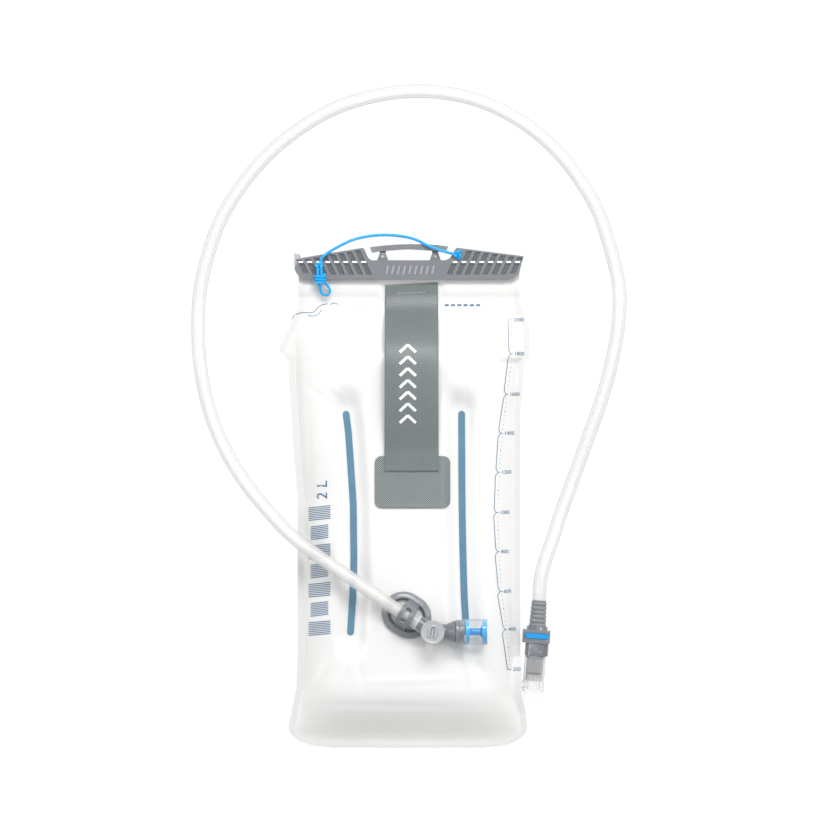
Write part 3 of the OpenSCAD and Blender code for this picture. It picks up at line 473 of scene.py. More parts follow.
class Finish:
    """One material: its shader, and the steps that lay a pattern on it."""

    def __init__(self, name, color, rough, **plain):
        self.mat = bpy.data.materials.new(name)
        self.mat.use_nodes = True
        self.tree = self.mat.node_tree
        self.shader = self.tree.nodes["Principled BSDF"]
        self.color = (*color, 1.0)
        self.shader.inputs["Base Color"].default_value = self.color
        self.shader.inputs["Roughness"].default_value = rough
        for key, value in plain.items():
            self.shader.inputs[key.replace("_", " ")].default_value = value
        self.where = self.tree.nodes.new("ShaderNodeTexCoord").outputs["Object"]

    def effect(self, tree, **values):
        node = self.tree.nodes.new("ShaderNodeGroup")
        node.node_tree = tree
        self.tree.links.new(self.where, node.inputs["Vector"])
        for key, value in values.items():
            node.inputs[key].default_value = value
        return node.outputs

    def mix(self, factor, color):
        """Base colour becomes the given colour where factor is 1."""
        node = self.tree.nodes.new("ShaderNodeMix")
        node.data_type = "RGBA"
        self.tree.links.new(factor, node.inputs["Factor"])
        socket = self.shader.inputs["Base Color"]
        if socket.is_linked:
            self.tree.links.new(socket.links[0].from_socket, node.inputs[6])
        else:
            node.inputs[6].default_value = self.color
        node.inputs[7].default_value = (*color, 1.0)
        self.tree.links.new(node.outputs[2], socket)

    def raise_by(self, height, distance, strength=1.0):
        node = self.tree.nodes.new("ShaderNodeBump")
        node.inputs["Distance"].default_value = distance * MM
        node.inputs["Strength"].default_value = strength
        self.tree.links.new(height, node.inputs["Height"])
        self.tree.links.new(node.outputs[0], self.shader.inputs["Normal"])

    def feed(self, name, value, low, high):
        """The shader's named input follows a 0 to 1 value between low and high."""
        node = self.tree.nodes.new("ShaderNodeMapRange")
        node.inputs["To Min"].default_value = low
        node.inputs["To Max"].default_value = high
        self.tree.links.new(value, node.inputs["Value"])
        self.tree.links.new(node.outputs[0], self.shader.inputs[name])

    def attribute(self, name):
        node = self.tree.nodes.new("ShaderNodeAttribute")
        node.attribute_name = name
        return node.outputs["Fac"]

    def facing(self, blend=0.4):
        node = self.tree.nodes.new("ShaderNodeLayerWeight")
        node.inputs["Blend"].default_value = blend
        return node.outputs["Facing"]


def moulded(name, color, light, rough=0.42, fineness=900.0, grain=0.03, recess_shade=None, **plain):
    """Satin moulded plastic with grain, slow shade variation and rubbed edges; the optional
    span of heights in mm gives recess floors between them a darker colour as painted shade."""
    f = Finish(name, color, rough, **plain)
    grains = f.effect(GRAIN, Fineness=fineness)
    f.mix(f.effect(WEAR)["Mask"], light)
    if recess_shade:
        spot = f.tree.nodes.new("ShaderNodeSeparateXYZ")
        f.tree.links.new(f.where, spot.inputs[0])
        above = maths(f.tree, "GREATER_THAN", spot.outputs["Z"], recess_shade[0] * MM)
        below = maths(f.tree, "LESS_THAN", spot.outputs["Z"], recess_shade[1] * MM)
        # Painted shade: recess floors between the two heights get a darker copy of the colour.
        f.mix(maths(f.tree, "MULTIPLY", above, below), [c * 0.62 for c in color])
    f.feed("Roughness", grains["Shade"], rough - 0.08, rough + 0.1)
    f.raise_by(grains["Height"], grain)
    return f.mat


def make_film(name, alpha):
    f = Finish(name, (0.964, 0.966, 0.958), 0.3, Coat_Weight=0.2, Coat_Roughness=0.12)
    seam = f.attribute("weld")
    # Painted shade: the film's colour greys towards (0.62, 0.61, 0.585) where its surface turns
    # away from view, standing in for the shaded slopes at its edges and folds.
    f.mix(maths(f.tree, "POWER", f.facing(0.5), 1.5), (0.62, 0.61, 0.585))
    # Greyer where the weld attribute is high: the real weld lip, plus painted shade in a band along
    # the bag's edge.
    f.mix(seam, (0.84, 0.838, 0.825))
    grains = f.effect(GRAIN, Fineness=260.0, Blotch=9.0)
    f.feed("Roughness", grains["Shade"], 0.2, 0.42)
    f.raise_by(grains["Height"], 0.05, 0.6)
    sheer = maths(f.tree, "MULTIPLY_ADD", grains["Shade"], 0.16, alpha - 0.08)
    edge = maths(f.tree, "MULTIPLY_ADD", f.facing(0.35), 0.35, sheer)
    f.tree.links.new(maths(f.tree, "MINIMUM", edge, 0.97), f.shader.inputs["Alpha"])
    return f.mat


def make_clear(name, color, alpha, rim, rough=0.12, blotch=30.0, edge=(0.36, 0.37, 0.38)):
    """Clear moulded plastic: faint face on, denser where it turns away, and there darkened towards
    the edge colour as a painted dark rim.
    """
    f = Finish(name, color, rough, Coat_Weight=0.6, Coat_Roughness=0.05)
    grains = f.effect(GRAIN, Fineness=500.0, Blotch=blotch)
    f.feed("Roughness", grains["Shade"], rough, rough + 0.12)
    f.raise_by(grains["Height"], 0.02)
    turned = maths(f.tree, "POWER", f.facing(0.5), 1.6)
    # Painted shade: the colour goes towards the edge colour where the surface turns away from view,
    # a dark rim standing in for refraction at the sides.
    f.mix(maths(f.tree, "MINIMUM", maths(f.tree, "MULTIPLY", turned, 1.2), 1.0), edge)
    dense = maths(f.tree, "MULTIPLY_ADD", turned, rim, alpha)
    f.tree.links.new(maths(f.tree, "MINIMUM", dense, 0.96), f.shader.inputs["Alpha"])
    return f.mat


def make_webbing(name, color, dots, cells, rough, height, alpha=1.0):
    f = Finish(name, color, rough, Sheen_Weight=0.3, Sheen_Roughness=0.4, Coat_Weight=0.7,
               Coat_Roughness=0.38)
    weave = f.effect(WEAVE, Cells=cells)
    grains = f.effect(GRAIN, Fineness=300.0, Blotch=35.0)
    f.mix(weave["Dots"], dots)
    f.feed("Roughness", grains["Shade"], rough - 0.07, rough + 0.12)
    f.raise_by(weave["Height"], height)
    f.shader.inputs["Alpha"].default_value = alpha
    return f.mat


def make_weld_blue():
    f = Finish("weld_blue", (0.075, 0.19, 0.30), 0.34, Coat_Weight=0.3)
    weave = f.effect(WEAVE, Cells=2600.0)
    grains = f.effect(GRAIN, Fineness=500.0, Blotch=60.0)
    f.mix(maths(f.tree, "MULTIPLY", grains["Shade"], 0.7), (0.15, 0.30, 0.42))
    f.raise_by(weave["Height"], 0.06)
    return f.mat


def make_cord_blue():
    f = Finish("cord_blue", (0.0, 0.36, 0.84), 0.38, Coat_Weight=0.2)
    weave = f.tree.nodes.new("ShaderNodeGroup")
    weave.node_tree = WEAVE
    along = f.tree.nodes.new("ShaderNodeUVMap")
    along.uv_map = "along"
    f.tree.links.new(along.outputs[0], weave.inputs["Vector"])
    weave.inputs["Cells"].default_value = 3.0
    f.mix(weave.outputs["Dots"], (0.0, 0.44, 0.88))
    f.raise_by(weave.outputs["Height"], 0.08)
    return f.mat


def make_ink(name, color):
    f = Finish(name, color, 0.5)
    grains = f.effect(GRAIN, Fineness=1500.0, Blotch=300.0)
    f.mix(maths(f.tree, "MULTIPLY", grains["Shade"], 0.35), tuple(min(1, c + 0.25) for c in color))
    return f.mat


def make_steel():
    f = Finish("spring_wire", (0.68, 0.69, 0.70), 0.25, Metallic=1.0)
    grains = f.effect(GRAIN, Fineness=2500.0, Blotch=200.0)
    f.feed("Roughness", grains["Shade"], 0.18, 0.36)
    return f.mat


FILM = make_film("film_front", 0.80)
FILM_BACK = make_film("film_back", 0.88)
# Each clear finish darkens to its edge colour where it turns away from view: a painted dark rim.
BAFFLE_FILM = make_clear("baffle_web", (0.78, 0.84, 0.88), 0.5, 0.4)
WELD_BLUE = make_weld_blue()
CLEAR = make_clear("clear_moulded", (0.84, 0.86, 0.87), 0.07, 0.55)
CLEAR_RAIL = make_clear("clear_rail", (0.86, 0.88, 0.89), 0.45, 0.4)
HOSE_CLEAR = make_clear("hose_clear", (0.93, 0.925, 0.915), 0.34, 0.6, 0.14, 12.0,
                        (0.50, 0.495, 0.48))
SHEATH = make_clear("sheath_silicone", (0.86, 0.89, 0.91), 0.03, 0.5)
SMOKED = make_clear("smoked_lever", (0.56, 0.58, 0.61), 0.74, 0.25, 0.14, 30.0, (0.2, 0.21, 0.23))
WEBBING = make_webbing("strap_webbing", (0.072, 0.094, 0.094), (0.34, 0.375, 0.375), 2400.0,
                       0.33, 0.22)
PATCH = make_webbing("patch_weave", (0.105, 0.13, 0.13), (0.42, 0.46, 0.46), 2300.0,
                     0.38, 0.12, 0.95)
GREY = moulded("satin_grey", (0.165, 0.178, 0.196), (0.50, 0.52, 0.55), 0.30, Coat_Weight=0.5,
               Coat_Roughness=0.16)
# The bar's pocket floors, between 23.9 and 24.9 mm high, get painted shade.
BAR_GREY = moulded("bar_grey", (0.185, 0.197, 0.215), (0.52, 0.54, 0.57), 0.30, recess_shade=(23.9, 24.9),
                   Coat_Weight=0.5, Coat_Roughness=0.16)
GREY_LIGHT = moulded("soft_grey", (0.19, 0.205, 0.222), (0.52, 0.54, 0.56), 0.38)
VALVE_GREY = moulded("valve_grey", (0.20, 0.21, 0.23), (0.6, 0.62, 0.64), 0.24,
                     Coat_Weight=0.4)
BLUE = moulded("bright_blue", (0.0, 0.30, 0.72), (0.05, 0.52, 0.88), 0.24, grain=0.015,
               Coat_Weight=0.4)
PIN_GREY = moulded("pin_grey", (0.2, 0.215, 0.23), (0.5, 0.52, 0.54), 0.35)
SEAL = moulded("seal_rubber", (0.02, 0.02, 0.022), (0.06, 0.06, 0.06), 0.6)
STEEL = make_steel()
BARB_GREY = moulded("barb_silver", (0.46, 0.47, 0.48), (0.75, 0.76, 0.77), 0.25)
PORT_CLEAR = make_clear("port_clear", (0.90, 0.90, 0.87), 0.13, 0.55, 0.14)
# Pale glossy colour of the bar's ledges: a painted highlight on the grey plastic.
LEDGE_HIGHLIGHT = moulded("ledge_painted_highlight", (0.62, 0.64, 0.66), (0.8, 0.81, 0.82), 0.2, Coat_Weight=1.0)
CORD_BLUE = make_cord_blue()
INK = make_ink("print_ink", (0.03, 0.12, 0.24))
INK_WHITE = make_ink("strap_ink", (0.80, 0.84, 0.86))
STITCH = make_ink("stitch_thread", (0.35, 0.39, 0.39))


def dress(material, slot, *nodes, bevel=0.0):
    """A finish for CAD pieces, with their sharp edges eased."""
    for name in nodes:
        obj = NODES[name]
        obj.data.materials.clear()
        obj.data.materials.append(material)
        if bevel:
            weld = obj.modifiers.new("weld", "WELD")
            weld.merge_threshold = 0.00001
            ease = obj.modifiers.new("ease", "BEVEL")
            ease.width = bevel * MM
            ease.segments = 2
            ease.limit_method = "ANGLE"
            ease.angle_limit = math.radians(32)
            ease.use_clamp_overlap = True


dress(BAFFLE_FILM, "baffle_film", "baffle_left", "baffle_right")
dress(WELD_BLUE, "weld_blue", "weld_strip_left", "weld_strip_right", bevel=0.15)
dress(CLEAR_RAIL, "clear_plastic", "rail_front", "rail_back")
dress(CLEAR, "clear_plastic", "tether_eyelet")
dress(PORT_CLEAR, "clear_plastic", "exit_port")
dress(VALVE_GREY, "valve_grey", "port_valve", "spring_seat", "poppet")
dress(SEAL, "seal_rubber", "port_oring", "spigot_oring", "spindle_oring")
dress(STEEL, "spring_steel", "poppet_spring", "latch_plate")
dress(BAR_GREY, "grey_plastic", "slide_bar", bevel=0.35)
dress(GREY, "grey_plastic", "hanger_arch", bevel=0.5)
dress(PIN_GREY, "pin_grey", "hanger_pins")
dress(GREY, "grey_plastic", "coupler_body", bevel=0.3)
dress(GREY_LIGHT, "grey_plastic", "strain_relief", bevel=0.15)
dress(BLUE, "blue_plastic", "release_button", bevel=0.3)
dress(GREY, "grey_plastic", "valve_body", "bite_collar", bevel=0.25)
dress(SHEATH, "bite_silicone", "bite_sheath")
dress(BLUE, "blue_plastic", "bite_core")

# ---------------------------------------------------------------- hose and tether

hose_path = metres(refine(HOSE_ROUTE, 7))
hose = tube("hose", hose_path, HOSE_D / 2 * MM, 24, 3.1 * MM)
placed(hose, "hose", HOSE_CLEAR, "hose", "hose_clear", "drinking_hose")

tether_path = metres(refine(TETHER_ROUTE, 5), PEG)
tether = tube("tether", tether_path, CORD_D / 2 * MM, 12)
tether.name = tether.data.name = "tether"
coat(tether, CORD_BLUE)
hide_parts("tether_line", "tether_loop")
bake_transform(tether)


def knot_path(centre, size, flat, turn):
    """Overhand knot: a trefoil drawn tight round a centre in mm."""
    out = []
    for i in range(61):
        a = i * 2 * math.pi / 60 * 0.97
        x = (math.sin(a) + 2 * math.sin(2 * a)) * size
        y = (math.cos(a) - 2 * math.cos(2 * a)) * size
        z = -math.sin(3 * a) * flat
        c, s = math.cos(turn), math.sin(turn)
        out.append((centre[0] + x * c - y * s, centre[1] + x * s + y * c, centre[2] + z))
    return metres(out)


def wrap_path(centre, across, deep, rise, turns):
    """Cord wound round the two strands of the loop, then tucked under."""
    out = []
    for i in range(turns * 20 + 1):
        a = i * 2 * math.pi / 20
        out.append((centre[0] + across * math.cos(a),
                    centre[1] + rise * (i / 20 - turns / 2),
                    centre[2] + deep * math.sin(a)))
    return metres(out)


front_knot = tube("bar_knot", knot_path((KNOT_HOLE[0], KNOT_HOLE[1], 27.4), 0.85, 0.9, 0.4),
                  0.95 * MM, 10)
back_knot = tube("bar_knot_back", knot_path((KNOT_HOLE[0], KNOT_HOLE[1], 10.7), 0.75, 0.9, 1.2),
                 0.95 * MM, 10)
shank = tube("bar_knot_shank", metres([(*KNOT_HOLE, 11.5), (*KNOT_HOLE, 19), (*KNOT_HOLE, 26.5)]),
             0.95 * MM, 10)
only(front_knot)
back_knot.select_set(True)
shank.select_set(True)
bpy.ops.object.join()
placed(front_knot, "bar_knot", CORD_BLUE, "slider", "tether_cord", "tether_knot")
wrap = tube("peg_wrap", wrap_path((PEG[0] - 3.9, PEG[1] + 8.2, PEG[2] + 7.6), 3.3, 2.05, 2.0, 3),
            CORD_D / 2 * MM, 10)
stop_knot = tube("peg_knot", knot_path((PEG[0] - 4.4, PEG[1] + 17.4, PEG[2] + 7.8), 0.8, 0.8, 0.2),
                 0.9 * MM, 10)
only(wrap)
stop_knot.select_set(True)
bpy.ops.object.join()
placed(wrap, "peg_wrap", CORD_BLUE, "reservoir", "tether_cord", "tether_cinch")

# ---------------------------------------------------------------- turned and moulded pieces


def lathe(name, profile, centre, turn=(0, 0, 0), steps=64, stretch=0.0):
    """Turned piece: a closed (radius, height) profile in mm spun about its own axis,
    its two halves then drawn apart if it is an oval."""
    deselect()
    bpy.ops.mesh.primitive_circle_add(vertices=len(profile), radius=0.01, fill_type="NOTHING")
    obj = bpy.context.object
    obj.name = name
    for v, (r, h) in zip(obj.data.vertices, profile):
        v.co = Vector((r * math.cos(0.03), r * math.sin(0.03), h)) * MM
    bpy.ops.object.mode_set(mode="EDIT")
    bpy.ops.mesh.select_all(action="SELECT")
    bpy.ops.mesh.spin(steps=steps, angle=2 * math.pi, center=(0, 0, 0), axis=(0, 0, 1))
    for side in (-1, 1) if stretch else ():
        bpy.ops.mesh.select_all(action="DESELECT")
        bpy.ops.object.mode_set(mode="OBJECT")
        for v in obj.data.vertices:
            v.select = v.co.x * side > 0
        bpy.ops.object.mode_set(mode="EDIT")
        bpy.ops.transform.translate(value=(side * stretch * MM, 0, 0))
    bpy.ops.object.mode_set(mode="OBJECT")
    tidy_normals(obj)
    obj.rotation_euler = turn
    obj.location = Vector(centre) * MM
    settle(obj, 38)
    return obj


def block(name, size, centre, turn, bevel, segments=3, tip=0.0):
    """Block with eased edges, tipped about X and turned about Z."""
    deselect()
    bpy.ops.mesh.primitive_cube_add(size=1, location=Vector(centre) * MM,
                                    rotation=(tip, 0, turn))
    obj = bpy.context.object
    obj.name = name
    obj.scale = Vector(size) * MM
    bpy.ops.object.transform_apply(location=False, rotation=False, scale=True)
    bpy.ops.object.mode_set(mode="EDIT")
    bpy.ops.mesh.select_all(action="SELECT")
    bpy.ops.mesh.bevel(offset=bevel * MM, segments=segments, affect="EDGES")
    bpy.ops.object.mode_set(mode="OBJECT")
    settle(obj, 38)
    return obj


def joined(first, *others):
    only(first)
    for obj in others:
        obj.select_set(True)
    bpy.ops.object.join()
    return first


CLIP_TURN = math.radians(-32)
CLIP_AT = (-2.2, -82.1, 49.5)
RING_AT = (CLIP_AT[0] + 0.6, CLIP_AT[1] - 0.3, 40.35)
RING_R = 15.0
RING_STRETCH = 2.6
# band of the ring from its outer rim in: a broad slope, a crest, an inner slope
ring = lathe("clip_ring_moulded", [
    (RING_R - 0.5, 0), (RING_R, 0.5), (RING_R, 1.4), (RING_R - 0.2, 1.7), (RING_R - 3.9, 3.15),
    (RING_R - 4.2, 3.15), (RING_R - 4.4, 2.9), (RING_R - 4.5, 2.2), (RING_R - 4.9, 2.1),
    (RING_R - 5.9, 1.2), (RING_R - 6.0, 0.5), (RING_R - 5.6, 0)],
    RING_AT, (0, 0, CLIP_TURN), 96, RING_STRETCH)
cross = block("clip_cross", (9, 24.5, 2.5), (RING_AT[0], RING_AT[1], RING_AT[2] + 1.35),
              CLIP_TURN, 0.5)
placed(joined(ring, cross), "clip_ring_moulded", GREY, "hose", "grey_plastic", "clip_ring")

SADDLE_ARCH = ([(-8.3, -6.1), (-8.1, -4.2), (-7.4, -1.2)]
               + [(6.5 * math.cos(math.radians(a)), 6.5 * math.sin(math.radians(a)))
                  for a in range(170, 9, -10)]
               + [(7.4, -1.2), (8.1, -4.2), (8.3, -6.1)])


def saddle_point(s, t):
    """Arch over the hose, narrower at its two feet."""
    at = t * (len(SADDLE_ARCH) - 1)
    i = min(len(SADDLE_ARCH) - 2, int(at))
    across, up = [SADDLE_ARCH[i][k] + (SADDLE_ARCH[i + 1][k] - SADDLE_ARCH[i][k]) * (at - i)
                  for k in (0, 1)]
    along = (s - 0.5) * 10 * (1 - 0.22 * abs(2 * t - 1) ** 3)
    c, d = math.cos(CLIP_TURN), math.sin(CLIP_TURN)
    return CLIP_AT[0] + along * c - across * d, CLIP_AT[1] + along * d + across * c, CLIP_AT[2] + up


saddle = grid("clip_saddle_moulded", 20, 44, saddle_point)
only(saddle)
bpy.ops.object.mode_set(mode="EDIT")
bpy.ops.mesh.select_all(action="DESELECT")
bpy.ops.mesh.select_mode(type="FACE")
bpy.ops.object.mode_set(mode="OBJECT")
for face in saddle.data.polygons:
    spot = face.center / MM - Vector(CLIP_AT)
    along = spot.x * math.cos(CLIP_TURN) + spot.y * math.sin(CLIP_TURN)
    across = -spot.x * math.sin(CLIP_TURN) + spot.y * math.cos(CLIP_TURN)
    face.select = (abs(along) < 1.9 and abs(across) < 4.9 and spot.z > 0
                   and math.hypot(max(0, abs(along) - 1.0), max(0, abs(across) - 4.0)) < 0.9)
bpy.ops.object.mode_set(mode="EDIT")
bpy.ops.mesh.delete(type="FACE")
bpy.ops.object.mode_set(mode="OBJECT")
apply_modifier(saddle, "SOLIDIFY", thickness=2.0 * MM, offset=0.0, use_even_offset=True)
tidy_normals(saddle)
apply_modifier(saddle, "BEVEL", width=0.5 * MM, segments=3, limit_method="ANGLE",
               angle_limit=math.radians(50))
settle(saddle, 45)
placed(saddle, "clip_saddle_moulded", GREY_LIGHT, "hose", "grey_plastic", "clip_saddle")

# shut-off lever: stem, dished disc, raised hairpin and thumb tab
disc = lathe("lever_disc", [
    (0, -4.5), (4.05, -4.5), (4.05, 5.9), (7.9, 5.9), (8.4, 6.3), (8.4, 7.3), (8.1, 7.8),
    (7.5, 7.9), (7.0, 7.6), (5.8, 7.45), (0, 7.4)], VALVE)
hairpin_line = ([(-2.4, -3.6)] + [(-2.4, y) for y in (-2.2, -0.6, 1.0)]
                + [(2.4 * math.cos(math.radians(a)), 1.9 + 2.4 * math.sin(math.radians(a)))
                   for a in range(180, -1, -20)]
                + [(2.4, y) for y in (1.0, -0.6, -2.2)] + [(2.4, -3.6)])
lean = math.radians(-12)


def on_lever(points, height):
    return metres([(x * math.cos(lean) - y * math.sin(lean),
                    x * math.sin(lean) + y * math.cos(lean), height) for x, y in points], VALVE)


hairpin = tube("lever_hairpin", on_lever(hairpin_line, 7.9), 0.85 * MM, 12)
pin = tube("lever_pin", on_lever([(0, -3.6), (0, -1.5), (0, 0.5), (0, 2.0)], 7.9), 0.65 * MM, 12)
tab_turn = math.radians(-102)
tab_dir = Vector((math.cos(tab_turn), math.sin(tab_turn), 0))
tab_mid = Vector(VALVE) + tab_dir * 10.6 + Vector((0, 0, 6.9))
tab = block("lever_tab", (7.4, 5.6, 1.7), tab_mid, tab_turn, 0.7, 4)
ribs = [block(f"lever_rib_{k}", (6.2, 0.9, 1.9),
              tab_mid + Vector((-tab_dir.y, tab_dir.x, 0)) * (k - 1) * 1.8 + Vector((0, 0, 0.05)),
              tab_turn, 0.3) for k in range(3)]
placed(joined(disc, hairpin, pin), "lever_disc", SMOKED, "lever", "frosted_clear",
       "shutoff_lever")
placed(joined(tab, *ribs), "lever_tab", CLEAR, "lever", "frosted_clear")

# barb of the valve, seen through the hose's end
inlet = Vector((math.cos(math.radians(148)), math.sin(math.radians(148)), 0))
barb_profile = [(0, 0), (3.0, 0), (3.0, 2.2), (2.5, 2.3), (2.5, 3.2), (3.0, 4.4), (3.0, 4.9),
                (2.5, 5.1), (2.5, 6.2), (3.0, 7.4), (3.0, 7.9), (2.5, 8.1), (2.4, 10.6), (0, 10.6)]
barb = lathe("valve_barb", barb_profile, Vector(VALVE) + inlet * 11.95,
             (math.pi / 2, 0, math.radians(148 + 90)), 32)
placed(barb, "valve_barb", BARB_GREY, "hose", "grey_plastic")
sleeve = lathe("valve_sleeve", [
    (4.8, 0), (5.35, 0), (5.5, 0.3), (5.5, 1.6), (5.2, 2.0), (5.2, 6.4), (4.95, 7.0), (4.8, 7.0)],
    Vector(VALVE) + inlet * 11.9, (math.pi / 2, 0, math.radians(148 + 90)), 48)
placed(sleeve, "valve_sleeve", BARB_GREY, "hose", "grey_plastic")

# springs under the release button
spring_low, spring_high = [Vector(c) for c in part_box("button_springs")]
SPRING_X, SPRING_R, SPRING_WIRE = 7.35 * MM, 0.95 * MM, 0.2 * MM
SPRING_TURNS, SPRING_STEPS = 4, 64
across_port = Vector((math.cos(PORT_LEAN), math.sin(PORT_LEAN), 0))
spring_height = spring_high.z - spring_low.z
springs = []
for side in (-1, 1):
    foot = (spring_low + spring_high) / 2 + side * SPRING_X * across_port
    turns = []
    for k in range(SPRING_STEPS + 1):
        turned = k / SPRING_STEPS
        angle = 2 * math.pi * SPRING_TURNS * turned
        rise = spring_low.z + SPRING_WIRE + turned * (spring_height - 2 * SPRING_WIRE)
        turns.append(Vector((foot.x + SPRING_R * math.cos(angle),
                             foot.y + SPRING_R * math.sin(angle), rise)))
    springs.append(tube(f"spring_{side}", turns, SPRING_WIRE, 8))
springs = joined(*springs)
placed(springs, "button_springs_wound", STEEL, "hose", "spring_steel", "button_springs")
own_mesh(springs)

# round emblem on the coupler, a plain ring
deselect()
bpy.ops.mesh.primitive_torus_add(location=(0.0898, -0.1066, 0.0262), major_radius=0.0031,
                                 minor_radius=0.00032, major_segments=40, minor_segments=10)
emblem = bpy.context.object
settle(emblem)
placed(emblem, "coupler_emblem", GREY_LIGHT, "hose", "grey_plastic")

# ledge over the bar's lower pockets, in short lengths between the ribs; its pale colour is a
# painted highlight
ledges = []
for k in range(8):
    for x in (-31.8 - 6.27 * k, 32.1 + 6.27 * k):
        ledges.append(block("ledge", (3.5, 1.5, 0.7), (x, 163.95, 25.4), 0.0, 0.12, 2, -0.33))
placed(joined(*ledges), "bar_ledge", LEDGE_HIGHLIGHT, "slider", "grey_plastic")

# ---------------------------------------------------------------- films


def film_point(s, t, height, thick):
    y = BASE_Y + (MOUTH_Y - BASE_Y) * t
    left, right = half_width(y, LEFT), half_width(y, RIGHT)
    x = -left + (left + right) * s
    return x, y, height(x, y) + thick


def weld_and_edge_shade_mask(obj):
    """Per-point value: 1 on the flat weld lip round the bag, 0.5 in a band fading out 12 to 34 mm
    in from the edge as painted shade where the film curves down, 0.4 over the neck, 0 on the open
    film.
    """
    layer = obj.data.attributes.new("weld", "FLOAT", "POINT")
    for i, v in enumerate(obj.data.vertices):
        x, y = v.co.x / MM, v.co.y / MM
        side = LEFT if x < 0 else RIGHT
        edge = min(half_width(y, side) - abs(x), y - BASE_Y)
        lip = 1 - smooth((edge - 3.5) / 2.5)
        # The lip is the weld itself; the 0.5 band is painted shade where the film curves down to
        # the seam; the 0.4 term greys the neck.
        layer.data[i].value = max(lip, 0.5 * (1 - smooth((edge - 12) / 22)),
                                  0.4 * smooth((y - NECK_Y + 4) / 3))


front = grid("front_skin", 150, 236, lambda s, t: film_point(s, t, front_z, 0.0))
weld_and_edge_shade_mask(front)
apply_modifier(front, "SOLIDIFY", thickness=0.5 * MM, offset=-1.0)
settle(front, 60)
placed(front, "front_skin", FILM, "reservoir", "film", "front_film")
back = grid("back_skin", 110, 170, lambda s, t: film_point(s, t, back_z, 0.5))
weld_and_edge_shade_mask(back)
apply_modifier(back, "SOLIDIFY", thickness=0.5 * MM, offset=-1.0)
settle(back, 60)
placed(back, "back_skin", FILM_BACK, "reservoir", "film", "back_film")

skin = BVHTree.FromObject(front, bpy.context.evaluated_depsgraph_get())


def on_film(x, y, gap=0.12):
    """Height in metres just over the front film at a place in mm."""
    hit = skin.ray_cast(Vector((x * MM, y * MM, 0.1)), Vector((0, 0, -1)))
    return (hit[0].z if hit[0] else SEAM_Z * MM) + gap * MM


def lay_on_film(obj, gap=0.12):
    for v in obj.data.vertices:
        v.co.z = on_film(v.co.x / MM, v.co.y / MM, gap) + v.co.z

# ---------------------------------------------------------------- strap and patch

STRAP_X, STRAP_W = 1.8, 37.8
PATCH_X, PATCH_W, PATCH_H, PATCH_TOP = 2.4, 52.5, 36.4, 28.4
STRAP_LOW, STRAP_TOP = 41.65, 20.35
STRAP_LINE = [
    (BAR_Y - 3, STRAP_TOP), (NECK_Y + 4, STRAP_TOP), (NECK_Y - 1, STRAP_TOP + 0.4),
    (NECK_Y - 9, STRAP_TOP + 3.4),
    (NECK_Y - 18, STRAP_TOP + 10.8), (NECK_Y - 27, STRAP_LOW - 2.6),
    (NECK_Y - 37, STRAP_LOW + 3.2), (NECK_Y - 50, STRAP_LOW + 6.2),
    (PATCH_TOP + 46, STRAP_LOW + 6.4), (PATCH_TOP + 31, STRAP_LOW + 5),
    (PATCH_TOP + 16, STRAP_LOW + 2.4), (PATCH_TOP + 6, STRAP_LOW + 0.4),
    (PATCH_TOP, STRAP_LOW), (PATCH_TOP - 10.4, STRAP_LOW)]
strap_fine = refine(STRAP_LINE, 8)


def strap_point(s, t):
    """Middle of the webbing: slack, a little cupped, its top end cut askew."""
    at = t * (len(strap_fine) - 1)
    i = min(len(strap_fine) - 2, int(at))
    y, z = [strap_fine[i][k] + (strap_fine[i + 1][k] - strap_fine[i][k]) * (at - i)
            for k in (0, 1)]
    u = 2 * s - 1
    free = math.sin(math.pi * clamp((t - 0.12) / 0.72)) if 0.12 < t < 0.84 else 0.0
    return (STRAP_X + u * (STRAP_W / 2 - 0.35 * (1 - t)), y + u * 1.0 * (1 - t) ** 6,
            z + 0.5 * free * (1 - u * u) - 0.3 * (u ** 8))


strap = grid("strap", 24, 110, strap_point)
apply_modifier(strap, "SOLIDIFY", thickness=1.2 * MM, offset=0.0)
tidy_normals(strap)
apply_modifier(strap, "BEVEL", width=0.35 * MM, segments=2, limit_method="ANGLE",
               angle_limit=math.radians(50))
settle(strap, 50)
placed(strap, "strap", WEBBING, "reservoir", "webbing", "carry_strap")
webbing_top = BVHTree.FromObject(strap, bpy.context.evaluated_depsgraph_get())


def rounded_grid(name, across, along, cx, cy, w, h, corner, height):
    """Sheet with rounded corners whose points lie at height(x, y)."""
    def place(s, t):
        x, y = (s - 0.5) * w, (t - 0.5) * h
        dx, dy = abs(x) - (w / 2 - corner), abs(y) - (h / 2 - corner)
        if dx > 0 and dy > 0:
            k = max(dx, dy) / math.hypot(dx, dy)
            x = math.copysign(w / 2 - corner + dx * k, x)
            y = math.copysign(h / 2 - corner + dy * k, y)
        return cx + x, cy + y, height(cx + x, cy + y)
    return grid(name, across, along, place)


def patch_height(x, y):
    rim = min(PATCH_W / 2 - abs(x - PATCH_X), PATCH_H / 2 - abs(y - PATCH_TOP + PATCH_H / 2))
    return on_film(x, y, 0) / MM + 0.55 + 0.22 * math.exp(-((rim - 1.6) / 0.6) ** 2)


patch = rounded_grid("patch", 60, 44, PATCH_X, PATCH_TOP - PATCH_H / 2, PATCH_W, PATCH_H,
                     5.0, patch_height)
apply_modifier(patch, "SOLIDIFY", thickness=0.6 * MM, offset=0.0)
settle(patch, 50)
placed(patch, "patch", PATCH, "reservoir", "patch_mesh", "strap_patch")

# ---------------------------------------------------------------- stitches and prints


